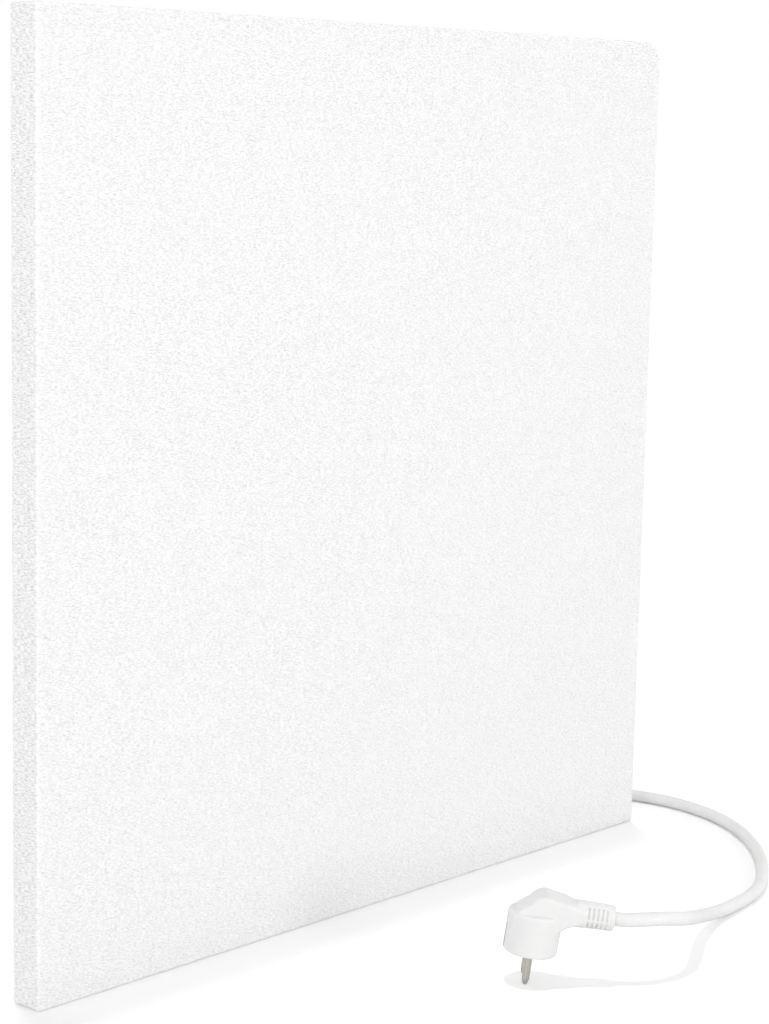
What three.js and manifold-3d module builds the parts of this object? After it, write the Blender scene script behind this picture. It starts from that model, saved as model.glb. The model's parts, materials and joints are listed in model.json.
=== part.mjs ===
// Infrared panel heater with a mains lead, built the way the real one comes apart on a bench.
// Millimetres. +X runs to the right of the radiating face, -Y is the way it radiates, +Z is up.
// The origin is under the middle of the panel, where its lower edge stands.
import * as THREE from 'three';
import { mergeVertices } from 'three/addons/utils/BufferGeometryUtils.js';
import Module from 'manifold-3d';

const wasm = await Module();
wasm.setup();

// ---------- Driving sizes ----------
const FIT = 0.3; // assembly clearance between neighbouring pieces
const HOLE_SEGMENTS = 10;

// Folded steel housing
const PANEL_WIDTH = 600;
const PANEL_HEIGHT = 600;
const HOUSING_DEPTH = 24;
const HOUSING_SHEET = 1;
const ARRIS_RADIUS = 2.2;
const CORNER_RADIUS = 2.6;
const TOP_RIGHT_RADIUS = 17;
const LIP_WIDTH = 12;
const LIP_CORNER_RADIUS = 3;
const WALL_OFFSET = 20; // the rear parts stand this far behind the housing

// Layers inside, from the radiating face backwards
const CARRIER_THICKNESS = 1;
const CONDUCTOR_THICKNESS = 0.5;
const FILM_THICKNESS = 0.4;
const FOIL_THICKNESS = 0.3;
const COVER_SHEET = 0.8;
const COVER_INSET = 4;
const COVER_CORNER_RADIUS = 3;

// Resistance strip
const STRIP_WIDTH = 9;
const STRIP_ROWS = 16;
const STRIP_MARGIN = 36; // from the panel edge to the middle of the outermost strip
const RETURN_GAP = 16; // between the zigzag and the strip that comes back down

// Contact tabs, limiters and silicone leads
const TAB_WIDTH = 14;
const TAB_LENGTH = 16;
const TAB_THICKNESS = 0.8;
const WINDOW_CLEARANCE = 1.5;
const LIMITER_RADIUS = 8;
const LIMITER_HEIGHT = 9;
const LIMITER_OFFSETS = [58, 94]; // to the left of the wire bush
const LIMITER_DROP = 18; // below the wire bush
const LUG_WIDTH = 5;
const LUG_THICKNESS = 0.8;
const LEAD_RADIUS = 1.3;
const LEAD_BEND = 6; // from the corner of a bend to where its legs are straight
const CHANNEL_WIDTH = 6.4;
const CHANNEL_DEPTH = 5;

// Screws and rivets
const SCREW_RADIUS = 1.75;
const SCREW_HEAD_RADIUS = 3.5;
const SCREW_HEAD_HEIGHT = 2;
const SCREW_LENGTH = 7;
const RIVET_RADIUS = 1.6;
const RIVET_HEAD_RADIUS = 3.3;
const RIVET_HEAD_HEIGHT = 1.1;
const RIVET_TAIL_RADIUS = 2.4;
const RIVET_TAIL_HEIGHT = 1.8;

// Connection box
const BOX_INSET = 50; // from the panel's right side to the middle of the box
const BOX_RISE = 150; // from the panel's foot to the middle of the box
const BOX_WIDTH = 80;
const BOX_HEIGHT = 80;
const BOX_WALL = 2;
const BOX_CORNER_RADIUS = 5;
const LID_THICKNESS = 2;
const LID_RIM_DEPTH = 2;
const BOX_BOSS_RADIUS = 4;
const BOX_BOSS_INSET = 7.5;
const BLOCK_WIDTH = 32;
const BLOCK_HEIGHT = 16;
const BLOCK_DEPTH = 10;
const BLOCK_DROP = 14; // the block sits this far below the middle of the box
const POLE_PITCH = 10;
const POLE_BORE_RADIUS = 1.9;
const TERMINAL_SCREW_RADIUS = 1.6;
const TERMINAL_SCREW_LENGTH = 4;
const BUSH_X = -14; // from the middle of the box
const BUSH_Z = 20;
const BUSH_BORE_RADIUS = 5;
const BUSH_WALL = 1.2;
const BUSH_FLANGE_RADIUS = 9;
const BUSH_FLANGE_HEIGHT = 1.5;
const BUSH_SEGMENTS = 16;
const STUD_X = 20;
const STUD_Z = 16;
const STUD_RADIUS = 2;
const STUD_HEAD_RADIUS = 4;
const STUD_HEAD_HEIGHT = 1.2;
const STUD_LENGTH = 8;
const NUT_RADIUS = 4;
const NUT_HEIGHT = 3.2;
const TAG_RADIUS = 4.5;
const TAG_THICKNESS = 0.8;
const TAG_RISE = 6; // from the stud to where the tag steps up to its lug
const TAG_LUG = 5;
const STUD_WINDOW_RADIUS = 7.5;

// Hangers and spacers
const HANGER_INSET = 100; // from the panel's side to the middle of a hanger
const HANGER_DROP = 70; // from the panel's top to the middle of a hanger
const HANGER_WIDTH = 90;
const HANGER_HEIGHT = 44;
const HANGER_SHEET = 1.5;
const HANGER_FOOT = 16;
const KEYHOLE_RADIUS = 5.5;
const KEYHOLE_SLOT = 5.2;
const KEYHOLE_RISE = 12;
const SPACER_INSET = 24;
const SPACER_RISE = 40;
const SPACER_RADIUS = 10;
const SPACER_TIP_RADIUS = 8;
const SPACER_STUD_RADIUS = 3;
const SPACER_STUD_LENGTH = 4;

// Mains lead
const CORD_DIAMETER = 9;
const CORD_SIDES = 8;
const RELIEF_LENGTH = 28;
const RELIEF_BASE_RADIUS = 8.5;
const RELIEF_END_RADIUS = 6;
const RELIEF_NECK_RADIUS = 5.5;
const RELIEF_COLLAR_RADIUS = 6.8;
const RELIEF_COLLAR_HEIGHT = 2.5;
const CORE_RADIUS = 1.3;
const COIL_CENTRE_X = 195;
const COIL_CENTRE_Y = 75;
const COIL_OUTER_TURN_RADIUS = 58;
const COIL_TURNS = 3.5;
const COIL_PITCH = 9.7;
const COIL_LAYER = 9.5;
const COIL_STEPS = 24;
const COIL_SIDES = 6;
const TIE_THICKNESS = 1.2;
const TIE_WIDTH = 14;
const TIE_CLEARANCE = 0.9;

// Two-pin plug with side earth contacts and a right-angled lead
const PLUG_X = -42;
const PLUG_Y = -190;
const PLUG_HEADING = THREE.MathUtils.degToRad(-49);
const PLUG_TILT = THREE.MathUtils.degToRad(7.5);
const PIN_RADIUS = 2.4;
const PIN_LENGTH = 19;
const PIN_PITCH = 19;
const PIN_ROOT = 8;
const PUCK_RADIUS = 18;
const PUCK_HEIGHT = 27;
const PUCK_EDGE = 3;
const PLUG_ARM_WIDTH = 25;
const PLUG_ARM_ROUND = 4;
const PLUG_EXIT_RISE = 28.5; // lead axis above the plug's face
const PLUG_REACH = 53.5; // pin axis to the end of the strain relief
const PLUG_RELIEF_LENGTH = 24.5;
const PLUG_RELIEF_RADIUS = 8.3;
const PLUG_RELIEF_END_RADIUS = 7.6;
const GROOVE_COUNT = 5;
const GROOVE_PITCH = 2.6;
const GROOVE_WIDTH = 1.1;
const GROOVE_MARGIN = 4.8; // last groove to the end of the strain relief
const GROOVE_DEPTH = 1;
const NOTCH_WIDTH = 9;
const NOTCH_DEPTH = 2.6;
const NOTCH_HEIGHT = 18;
const EARTH_STRIP_WIDTH = 5;
const EARTH_STRIP_THICKNESS = 1;

// ---------- Places worked out from the sizes ----------
const frontFace = -(HOUSING_DEPTH + WALL_OFFSET) / 2;
const housingBack = frontFace + HOUSING_DEPTH;
const wallPlane = housingBack + WALL_OFFSET;
const halfWidth = PANEL_WIDTH / 2;
const lipMiddle = halfWidth - LIP_WIDTH / 2;
const layerMargin = LIP_WIDTH + FIT;
const carrierBack = frontFace + HOUSING_SHEET + FIT + CARRIER_THICKNESS;
const conductorBack = carrierBack + FIT + CONDUCTOR_THICKNESS;
const filmBack = conductorBack + FIT + FILM_THICKNESS;
const foilBack = filmBack + FIT + FOIL_THICKNESS;
const coverFront = housingBack + FIT;
const coverBack = coverFront + COVER_SHEET;
const boardBack = coverFront - FIT;
const boxFloor = coverBack + FIT;
const boxInside = boxFloor + BOX_WALL;
const lidFront = wallPlane - LID_THICKNESS;
const boxX = halfWidth - BOX_INSET;
const boxBottom = BOX_RISE - BOX_HEIGHT / 2;
const boxMiddle = (boxFloor + wallPlane) / 2;
const cordRadius = CORD_DIAMETER / 2;

// ---------- Shaping helpers ----------

// A closed solid of a geometry, with shared vertices merged and empty triangles left out.
function solidOf(geometry) {
  const bare = geometry.index ? geometry.clone() : geometry;
  bare.deleteAttribute('normal');
  bare.deleteAttribute('uv');
  const merged = mergeVertices(bare, 1e-4);
  const corners = merged.index.array;
  const kept = [];
  for (let i = 0; i < corners.length; i += 3) {
    const [a, b, c] = [corners[i], corners[i + 1], corners[i + 2]];
    if (a !== b && b !== c && c !== a) kept.push(a, b, c);
  }
  const vertProperties = merged.attributes.position.array;
  const triVerts = Uint32Array.from(kept);
  return new wasm.Manifold(new wasm.Mesh({ numProp: 3, vertProperties, triVerts }));
}

function geometryOf(solid) {
  const mesh = solid.getMesh();
  const geometry = new THREE.BufferGeometry();
  geometry.setAttribute('position', new THREE.BufferAttribute(mesh.vertProperties, 3));
  geometry.setIndex(new THREE.BufferAttribute(mesh.triVerts, 1));
  geometry.computeVertexNormals();
  return geometry;
}

function joined(solids) {
  return solids.reduce((whole, solid) => whole.add(solid));
}

function without(solid, cutters) {
  return cutters.reduce((rest, cutter) => rest.subtract(cutter), solid);
}

function block(x0, x1, y0, y1, z0, z1) {
  const geometry = new THREE.BoxGeometry(x1 - x0, y1 - y0, z1 - z0);
  geometry.translate((x0 + x1) / 2, (y0 + y1) / 2, (z0 + z1) / 2);
  return solidOf(geometry);
}

// An outline drawn in X and Z, given depth between two places along Y.
function slab(outline, y0, y1, curveSegments = 6) {
  const options = { depth: y1 - y0, bevelEnabled: false, curveSegments };
  const geometry = new THREE.ExtrudeGeometry(outline, options);
  geometry.rotateX(Math.PI / 2);
  geometry.translate(0, y1, 0);
  return solidOf(geometry);
}

// A profile of [radius, height] pairs turned round an axis through a point.
function turned(profile, axis, [x, y, z], segments = 12) {
  const points = profile.map(([radius, height]) => new THREE.Vector2(radius, height));
  const geometry = new THREE.LatheGeometry(points, segments);
  if (axis === 'z') geometry.rotateX(Math.PI / 2);
  if (axis === 'x') geometry.rotateZ(-Math.PI / 2);
  geometry.translate(x, y, z);
  return solidOf(geometry);
}

function rod(radius, axis, [x, y, z], length, segments = 12) {
  return turned([[0, 0], [radius, 0], [radius, length], [0, length]], axis, [x, y, z], segments);
}

// A rectangle whose corners have their own radii: bottom left, bottom right, top right, top left.
function roundedOutline(x0, z0, x1, z1, [bl, br, tr, tl]) {
  const outline = new THREE.Shape();
  outline.moveTo(x0 + bl, z0);
  outline.lineTo(x1 - br, z0);
  outline.absarc(x1 - br, z0 + br, br, -Math.PI / 2, 0);
  outline.lineTo(x1, z1 - tr);
  outline.absarc(x1 - tr, z1 - tr, tr, 0, Math.PI / 2);
  outline.lineTo(x0 + tl, z1);
  outline.absarc(x0 + tl, z1 - tl, tl, Math.PI / 2, Math.PI);
  outline.lineTo(x0, z0 + bl);
  outline.absarc(x0 + bl, z0 + bl, bl, Math.PI, Math.PI * 1.5);
  return outline;
}

// A round section swept along a smooth curve through points.
function tube(points, radius, sides, steps) {
  const section = [];
  for (let i = 0; i < sides; i += 1) {
    const turn = (i * 2 * Math.PI) / sides;
    section.push(new THREE.Vector2(radius * Math.cos(turn), radius * Math.sin(turn)));
  }
  const curve = new THREE.CatmullRomCurve3(points.map((p) => new THREE.Vector3(...p)));
  const options = { steps, bevelEnabled: false, extrudePath: curve };
  return solidOf(new THREE.ExtrudeGeometry(new THREE.Shape(section), options));
}

const heater = new THREE.Group();

function addPart(name, solid, color, roughness, metalness, parent = heater) {
  const material = new THREE.MeshStandardMaterial({ color, roughness, metalness });
  const mesh = new THREE.Mesh(geometryOf(solid), material);
  mesh.name = name;
  parent.add(mesh);
  return mesh;
}

// ---------- Where the fastenings go ----------

const coverScrewPlaces = [];
for (const side of [-1, 1]) {
  for (const share of [0.04, 0.5, 0.96]) coverScrewPlaces.push([side * lipMiddle, PANEL_HEIGHT * share]);
  coverScrewPlaces.push([0, side < 0 ? LIP_WIDTH / 2 : PANEL_HEIGHT - LIP_WIDTH / 2]);
}

const hangerX = halfWidth - HANGER_INSET;
const hangerZ = PANEL_HEIGHT - HANGER_DROP;
const rivetPlaces = [];
for (const side of [-1, 1]) {
  const reach = (HANGER_WIDTH - HANGER_FOOT) / 2;
  for (const end of [-1, 1]) rivetPlaces.push([side * hangerX + end * reach, hangerZ]);
}

const boxScrewPlaces = [
  [boxX - BOX_WIDTH / 2 + BOX_BOSS_INSET + 12, BOX_RISE - BOX_HEIGHT / 2 + BOX_BOSS_INSET],
  [boxX + 2, BOX_RISE + BOX_HEIGHT / 2 - BOX_BOSS_INSET],
];
const lidScrewPlaces = [-1, 1].map((end) => [
  boxX + end * (BOX_WIDTH / 2 - BOX_BOSS_INSET),
  BOX_RISE + end * (BOX_HEIGHT / 2 - BOX_BOSS_INSET),
]);
const bushPlace = [boxX + BUSH_X, BOX_RISE + BUSH_Z];
const limiterX = LIMITER_OFFSETS.map((offset) => bushPlace[0] - offset);
const limiterZ = bushPlace[1] - LIMITER_DROP;
const studPlace = [boxX + STUD_X, BOX_RISE + STUD_Z];
const spacerPlaces = [-1, 1].map((side) => [side * (halfWidth - SPACER_INSET), SPACER_RISE]);
const blockZ = BOX_RISE - BLOCK_DROP;
const elementLeadX = limiterX[1] - LIMITER_RADIUS - WINDOW_CLEARANCE - CHANNEL_WIDTH;
const startTab = [elementLeadX, STRIP_MARGIN];
const returnTab = [halfWidth - STRIP_MARGIN + RETURN_GAP, STRIP_MARGIN];

function holes(places, radius, y0, y1, segments = HOLE_SEGMENTS) {
  return places.map(([x, z]) => rod(radius, 'y', [x, y0, z], y1 - y0, segments));
}

// ---------- Housing and the layers inside it ----------

function panelOutline(inset) {
  const corner = Math.max(CORNER_RADIUS - inset, 0.5);
  const roundCorner = Math.max(TOP_RIGHT_RADIUS - inset, 0.5);
  const edge = halfWidth - inset;
  return roundedOutline(-edge, inset, edge, PANEL_HEIGHT - inset, [corner, corner, roundCorner, corner]);
}

// The panel's outline with its front arris rounded, from a front plane to a back plane.
function roundedTray(inset, y0, y1, arris) {
  const past = 2; // the rounding at the back is drawn past the back plane and cut away
  const options = {
    depth: y1 - y0 - arris + past,
    bevelThickness: arris,
    bevelSize: arris,
    bevelOffset: -arris,
    bevelSegments: 3,
    curveSegments: 6,
  };
  const geometry = new THREE.ExtrudeGeometry(panelOutline(inset), options);
  geometry.rotateX(Math.PI / 2);
  geometry.translate(0, y0 + options.depth + arris, 0);
  const beyond = block(-PANEL_WIDTH, PANEL_WIDTH, y1, y1 + PANEL_WIDTH, -PANEL_HEIGHT, 2 * PANEL_HEIGHT);
  return solidOf(geometry).subtract(beyond);
}

function makeHousing() {
  const outer = roundedTray(0, frontFace, housingBack, ARRIS_RADIUS);
  const innerArris = Math.max(ARRIS_RADIUS - HOUSING_SHEET, 0.2);
  const inner = roundedTray(
    HOUSING_SHEET,
    frontFace + HOUSING_SHEET,
    housingBack - HOUSING_SHEET,
    innerArris,
  );
  const radii = [1, 1, 1, 1].map(() => LIP_CORNER_RADIUS);
  const edge = halfWidth - LIP_WIDTH;
  const mouth = slab(
    roundedOutline(-edge, LIP_WIDTH, edge, PANEL_HEIGHT - LIP_WIDTH, radii),
    housingBack - 2 * HOUSING_SHEET,
    housingBack + HOUSING_SHEET,
  );
  const screwHoles = holes(
    coverScrewPlaces,
    SCREW_RADIUS + FIT,
    housingBack - 2 * HOUSING_SHEET,
    housingBack + HOUSING_SHEET,
  );
  return without(outer, [inner, mouth, ...screwHoles]);
}

function layerSheet(y0, y1) {
  const edge = halfWidth - layerMargin;
  const radii = [1, 1, 1, 1].map(() => LIP_CORNER_RADIUS);
  return slab(roundedOutline(-edge, layerMargin, edge, PANEL_HEIGHT - layerMargin, radii), y0, y1, 3);
}

// A strip of even width along a line of square bends.
function stripOutline(line, width) {
  const left = [];
  const right = [];
  line.forEach((point, i) => {
    const before = line[Math.max(i - 1, 0)];
    const after = line[Math.min(i + 1, line.length - 1)];
    const into = i > 0 ? unit(before, point) : unit(point, after);
    const out = i < line.length - 1 ? unit(point, after) : into;
    const straight = into[0] === out[0] && into[1] === out[1];
    const nx = -(straight ? into[1] : into[1] + out[1]);
    const nz = straight ? into[0] : into[0] + out[0];
    left.push(new THREE.Vector2(point[0] + (nx * width) / 2, point[1] + (nz * width) / 2));
    right.unshift(new THREE.Vector2(point[0] - (nx * width) / 2, point[1] - (nz * width) / 2));
  });
  return new THREE.Shape([...left, ...right]);
}

function unit(from, to) {
  const length = Math.hypot(to[0] - from[0], to[1] - from[1]);
  return [(to[0] - from[0]) / length, (to[1] - from[1]) / length];
}

// The strip zigzags up the panel and comes back down its right edge, so both ends are low.
function conductorLine() {
  const leftX = STRIP_MARGIN - halfWidth;
  const rightX = halfWidth - STRIP_MARGIN - RETURN_GAP;
  const pitch = (PANEL_HEIGHT - 2 * STRIP_MARGIN) / (STRIP_ROWS - 1);
  const line = [[startTab[0] + TAB_LENGTH / 2, STRIP_MARGIN]];
  for (let row = 0; row < STRIP_ROWS; row += 1) {
    const z = STRIP_MARGIN + row * pitch;
    if (row > 0) line.push([row % 2 ? leftX : rightX, z]);
    if (row < STRIP_ROWS - 1) line.push([row % 2 ? rightX : leftX, z]);
  }
  line.push([returnTab[0], PANEL_HEIGHT - STRIP_MARGIN], returnTab);
  return line;
}

const tabWindow = ([x, z], y0, y1) => {
  const reachX = TAB_LENGTH / 2 + WINDOW_CLEARANCE;
  const reachZ = TAB_WIDTH / 2 + WINDOW_CLEARANCE;
  return block(x - reachX, x + reachX, y0, y1, z - reachZ, z + reachZ);
};
const tabWindows = (y0, y1) => [startTab, returnTab].map((place) => tabWindow(place, y0, y1));
const limiterPlaces = limiterX.map((x) => [x, limiterZ]);
const limiterWindows = (y0, y1) => holes(limiterPlaces, LIMITER_RADIUS + WINDOW_CLEARANCE, y0, y1);

// Grooves in the back of the board that the leads lie in.
function leadChannels() {
  const y0 = boardBack - CHANNEL_DEPTH;
  const y1 = boardBack + FIT;
  const half = CHANNEL_WIDTH / 2;
  const across = (x0, x1, z) => block(x0 - half, x1 + half, y0, y1, z - half, z + half);
  const upright = (x, z0, z1) => block(x - half, x + half, y0, y1, z0 - half, z1 + half);
  return [
    across(limiterX[0], bushPlace[0], limiterZ),
    upright(bushPlace[0], limiterZ, bushPlace[1]),
    across(elementLeadX, limiterX[0], limiterZ),
    upright(startTab[0], startTab[1], limiterZ),
    across(bushPlace[0], returnTab[0], bushPlace[1]),
    upright(returnTab[0], returnTab[1], bushPlace[1]),
  ];
}

function makeInsulationBoard() {
  const y0 = foilBack + FIT;
  const pocketBack = boardBack + FIT;
  const board = layerSheet(y0, boardBack);
  const rivetPockets = holes(
    rivetPlaces,
    RIVET_TAIL_RADIUS + WINDOW_CLEARANCE,
    boardBack - RIVET_TAIL_HEIGHT - 2 * FIT,
    pocketBack,
  );
  const screwPockets = holes(
    boxScrewPlaces,
    SCREW_RADIUS + WINDOW_CLEARANCE,
    boardBack - SCREW_LENGTH,
    pocketBack,
  );
  const spacerPockets = holes(
    spacerPlaces,
    SPACER_STUD_RADIUS + WINDOW_CLEARANCE,
    boardBack - SPACER_STUD_LENGTH,
    pocketBack,
  );
  const studPocket = holes(
    [studPlace],
    STUD_HEAD_RADIUS + WINDOW_CLEARANCE,
    boardBack - STUD_HEAD_HEIGHT - 2 * FIT,
    pocketBack,
  );
  const bushPocket = holes(
    [bushPlace],
    BUSH_BORE_RADIUS + BUSH_WALL + WINDOW_CLEARANCE,
    boardBack - CHANNEL_DEPTH,
    pocketBack,
  );
  return without(board, [
    ...tabWindows(y0 - FIT, pocketBack),
    ...limiterWindows(y0 - FIT, pocketBack),
    ...leadChannels(),
    ...rivetPockets,
    ...screwPockets,
    ...spacerPockets,
    ...studPocket,
    ...bushPocket,
  ]);
}

function makeBackCover() {
  const edge = halfWidth - COVER_INSET;
  const top = PANEL_HEIGHT - COVER_INSET;
  const corner = COVER_CORNER_RADIUS;
  const roundCorner = Math.max(TOP_RIGHT_RADIUS - COVER_INSET, corner);
  const outline = roundedOutline(-edge, COVER_INSET, edge, top, [corner, corner, roundCorner, corner]);
  const y0 = coverFront - FIT;
  const y1 = coverBack + FIT;
  return without(slab(outline, coverFront, coverBack), [
    ...holes([...coverScrewPlaces, ...boxScrewPlaces], SCREW_RADIUS + FIT, y0, y1),
    ...holes(rivetPlaces, RIVET_RADIUS + FIT, y0, y1),
    ...holes(spacerPlaces, SPACER_STUD_RADIUS + FIT, y0, y1),
    ...holes([bushPlace], BUSH_BORE_RADIUS + BUSH_WALL + FIT, y0, y1, BUSH_SEGMENTS),
    ...holes([studPlace], STUD_RADIUS + FIT, y0, y1),
  ]);
}

// ---------- Fasteners, all driven from behind, towards -Y ----------

// A pan-head screw whose head rests on a face at seatY, with a cross recess.
function panScrew([x, z], seatY, length = SCREW_LENGTH) {
  const headBase = seatY + FIT;
  const crown = SCREW_HEAD_RADIUS * 0.72;
  const profile = [
    [0, -length],
    [SCREW_RADIUS, -length + 2],
    [SCREW_RADIUS, 0],
    [SCREW_HEAD_RADIUS, 0],
    [SCREW_HEAD_RADIUS, SCREW_HEAD_HEIGHT * 0.55],
    [crown, SCREW_HEAD_HEIGHT],
    [0, SCREW_HEAD_HEIGHT],
  ];
  const screw = turned(profile, 'y', [x, headBase, z], 10);
  const [reach, half, sink] = [crown * 0.75, crown * 0.17, SCREW_HEAD_HEIGHT * 0.5];
  const top = headBase + SCREW_HEAD_HEIGHT;
  return without(screw, [
    block(x - reach, x + reach, top - sink, top + FIT, z - half, z + half),
    block(x - half, x + half, top - sink, top + FIT, z - reach, z + reach),
  ]);
}

// A set rivet: round head behind the hanger foot, tail spread behind the cover.
function hangerRivet([x, z]) {
  const footBack = coverBack + FIT + HANGER_SHEET;
  const head = footBack + FIT;
  const cover = coverFront - FIT;
  const profile = [
    [0, cover - RIVET_TAIL_HEIGHT],
    [RIVET_TAIL_RADIUS * 0.7, cover - RIVET_TAIL_HEIGHT],
    [RIVET_TAIL_RADIUS, cover - RIVET_TAIL_HEIGHT * 0.6],
    [RIVET_TAIL_RADIUS, cover],
    [RIVET_RADIUS, cover],
    [RIVET_RADIUS, head],
    [RIVET_HEAD_RADIUS, head],
    [RIVET_HEAD_RADIUS * 0.75, head + RIVET_HEAD_HEIGHT * 0.7],
    [RIVET_HEAD_RADIUS * 0.3, head + RIVET_HEAD_HEIGHT],
    [0, head + RIVET_HEAD_HEIGHT],
  ];
  return turned(profile, 'y', [x, 0, z]);
}

// ---------- Limiters, tabs and leads ----------

const limiterFront = filmBack + FIT;
const leadY = boardBack - CHANNEL_DEPTH / 2;
const postTop = leadY + LEAD_RADIUS;
const LUG_REACH = LIMITER_RADIUS * 0.85 - FIT;

function makeLimiter([x, z]) {
  const profile = [
    [0, 0],
    [LIMITER_RADIUS, 0],
    [LIMITER_RADIUS, LIMITER_HEIGHT * 0.35],
    [LIMITER_RADIUS * 0.85, LIMITER_HEIGHT * 0.4],
    [LIMITER_RADIUS * 0.85, LIMITER_HEIGHT],
    [0, LIMITER_HEIGHT],
  ];
  const body = turned(profile, 'y', [x, limiterFront, z], 20);
  const half = LUG_WIDTH / 2;
  const lug = (x0, x1) => block(x0, x1, limiterFront + LIMITER_HEIGHT / 2, postTop, z - half, z + half);
  const inner = LUG_REACH - LUG_THICKNESS;
  return joined([body, lug(x - LUG_REACH, x - inner), lug(x + inner, x + LUG_REACH)]);
}

function makeTab([x, z]) {
  const y0 = conductorBack + FIT;
  const foot = block(
    x - TAB_LENGTH / 2,
    x + TAB_LENGTH / 2,
    y0,
    y0 + TAB_THICKNESS,
    z - TAB_WIDTH / 2,
    z + TAB_WIDTH / 2,
  );
  const half = LUG_WIDTH / 2;
  const post = block(
    x - half,
    x + half,
    y0,
    postTop,
    z - TAB_THICKNESS / 2,
    z + TAB_THICKNESS / 2,
  );
  return foot.add(post);
}

const bushWireY = boxInside + BUSH_FLANGE_HEIGHT;
const poleX = (pole) => boxX + (pole - 1) * POLE_PITCH;
const poleY = boxInside + FIT + BLOCK_DEPTH * 0.4;
const blockTop = blockZ + BLOCK_HEIGHT / 2;
const blockFoot = blockZ - BLOCK_HEIGHT / 2;

// A lead's way round a square corner in its channel: the two legs leave it as given.
function leadCorner([x, z], [ax, az], [bx, bz]) {
  const [near, far] = [LEAD_BEND * 0.1, LEAD_BEND * 0.4];
  return [
    [x + ax * LEAD_BEND, leadY, z + az * LEAD_BEND],
    [x + ax * far + bx * near, leadY, z + az * far + bz * near],
    [x + ax * near + bx * far, leadY, z + az * near + bz * far],
    [x + bx * LEAD_BEND, leadY, z + bz * LEAD_BEND],
  ];
}

// Out of the top of a pole, over the bush's flange and down through its bore.
function poleToBush(pole, x) {
  const bz = bushPlace[1];
  return [
    [poleX(pole), poleY, blockTop + FIT],
    [poleX(pole), poleY + 0.6, blockTop + 4],
    [(poleX(pole) + x) / 2, bushWireY + 4.2, (blockTop + bz) / 2],
    [x, bushWireY + 4.6, bz - 5],
    [x, bushWireY + 3, bz - 1.4],
    [x, bushWireY, bz],
    [x, boxFloor - 1, bz],
  ];
}

function liveLeadPoints() {
  const x = bushPlace[0] - LEAD_RADIUS - FIT;
  return [
    ...poleToBush(0, x),
    [x, leadY + 0.6, bushPlace[1] - 1.4],
    [bushPlace[0], leadY, bushPlace[1] - 6],
    ...leadCorner([bushPlace[0], limiterZ], [0, 1], [-1, 0]),
    [limiterX[0] + LUG_REACH + FIT, leadY, limiterZ],
  ];
}

function linkLeadPoints() {
  const [from, to] = [limiterX[0] - LUG_REACH - FIT, limiterX[1] + LUG_REACH + FIT];
  return [[from, leadY, limiterZ], [to, leadY, limiterZ]];
}

function elementLeadPoints() {
  const [tx, tz] = startTab;
  return [
    [limiterX[1] - LUG_REACH - FIT, leadY, limiterZ],
    ...leadCorner([tx, limiterZ], [1, 0], [0, -1]),
    [tx, leadY, (limiterZ + tz) / 2],
    [tx, leadY, tz + TAB_THICKNESS / 2 + FIT],
  ];
}

function neutralLeadPoints() {
  const [bx, bz] = bushPlace;
  const [tx, tz] = returnTab;
  const x = bx + LEAD_RADIUS + FIT;
  return [
    ...poleToBush(1, x),
    [x + 1.4, leadY + 0.6, bz],
    [x + LEAD_BEND, leadY, bz],
    ...leadCorner([tx, bz], [-1, 0], [0, -1]),
    [tx, leadY, (bz + tz) / 2],
    [tx, leadY, tz + TAB_THICKNESS / 2 + FIT],
  ];
}

// ---------- Connection box ----------

function makeBoxBase() {
  const [x0, x1] = [boxX - BOX_WIDTH / 2, boxX + BOX_WIDTH / 2];
  const [z0, z1] = [boxBottom, boxBottom + BOX_HEIGHT];
  const radii = [1, 1, 1, 1].map(() => BOX_CORNER_RADIUS);
  const innerRadii = radii.map((radius) => Math.max(radius - BOX_WALL, 0.5));
  const rim = lidFront - FIT;
  const shell = slab(roundedOutline(x0, z0, x1, z1, radii), boxFloor, rim);
  const room = slab(
    roundedOutline(x0 + BOX_WALL, z0 + BOX_WALL, x1 - BOX_WALL, z1 - BOX_WALL, innerRadii),
    boxInside,
    rim + BOX_WALL,
  );
  const bossTop = rim - LID_RIM_DEPTH;
  const bosses = lidScrewPlaces.map(([x, z]) =>
    rod(BOX_BOSS_RADIUS, 'y', [x, boxFloor, z], bossTop - boxFloor),
  );
  const neck = rod(RELIEF_NECK_RADIUS + FIT, 'z', [boxX, boxMiddle, z0 - 1], BOX_WALL + 2, 16);
  return without(joined([shell.subtract(room), ...bosses]), [
    neck,
    ...holes(lidScrewPlaces, SCREW_RADIUS + FIT, bossTop - SCREW_LENGTH, bossTop + 1),
    ...holes(boxScrewPlaces, SCREW_RADIUS + FIT, boxFloor - 1, boxInside + 1),
    ...holes([bushPlace], BUSH_BORE_RADIUS + BUSH_WALL + FIT, boxFloor - 1, boxInside + 1, BUSH_SEGMENTS),
    ...holes([studPlace], STUD_WINDOW_RADIUS, boxFloor - 1, boxInside + 1),
  ]);
}

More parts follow.
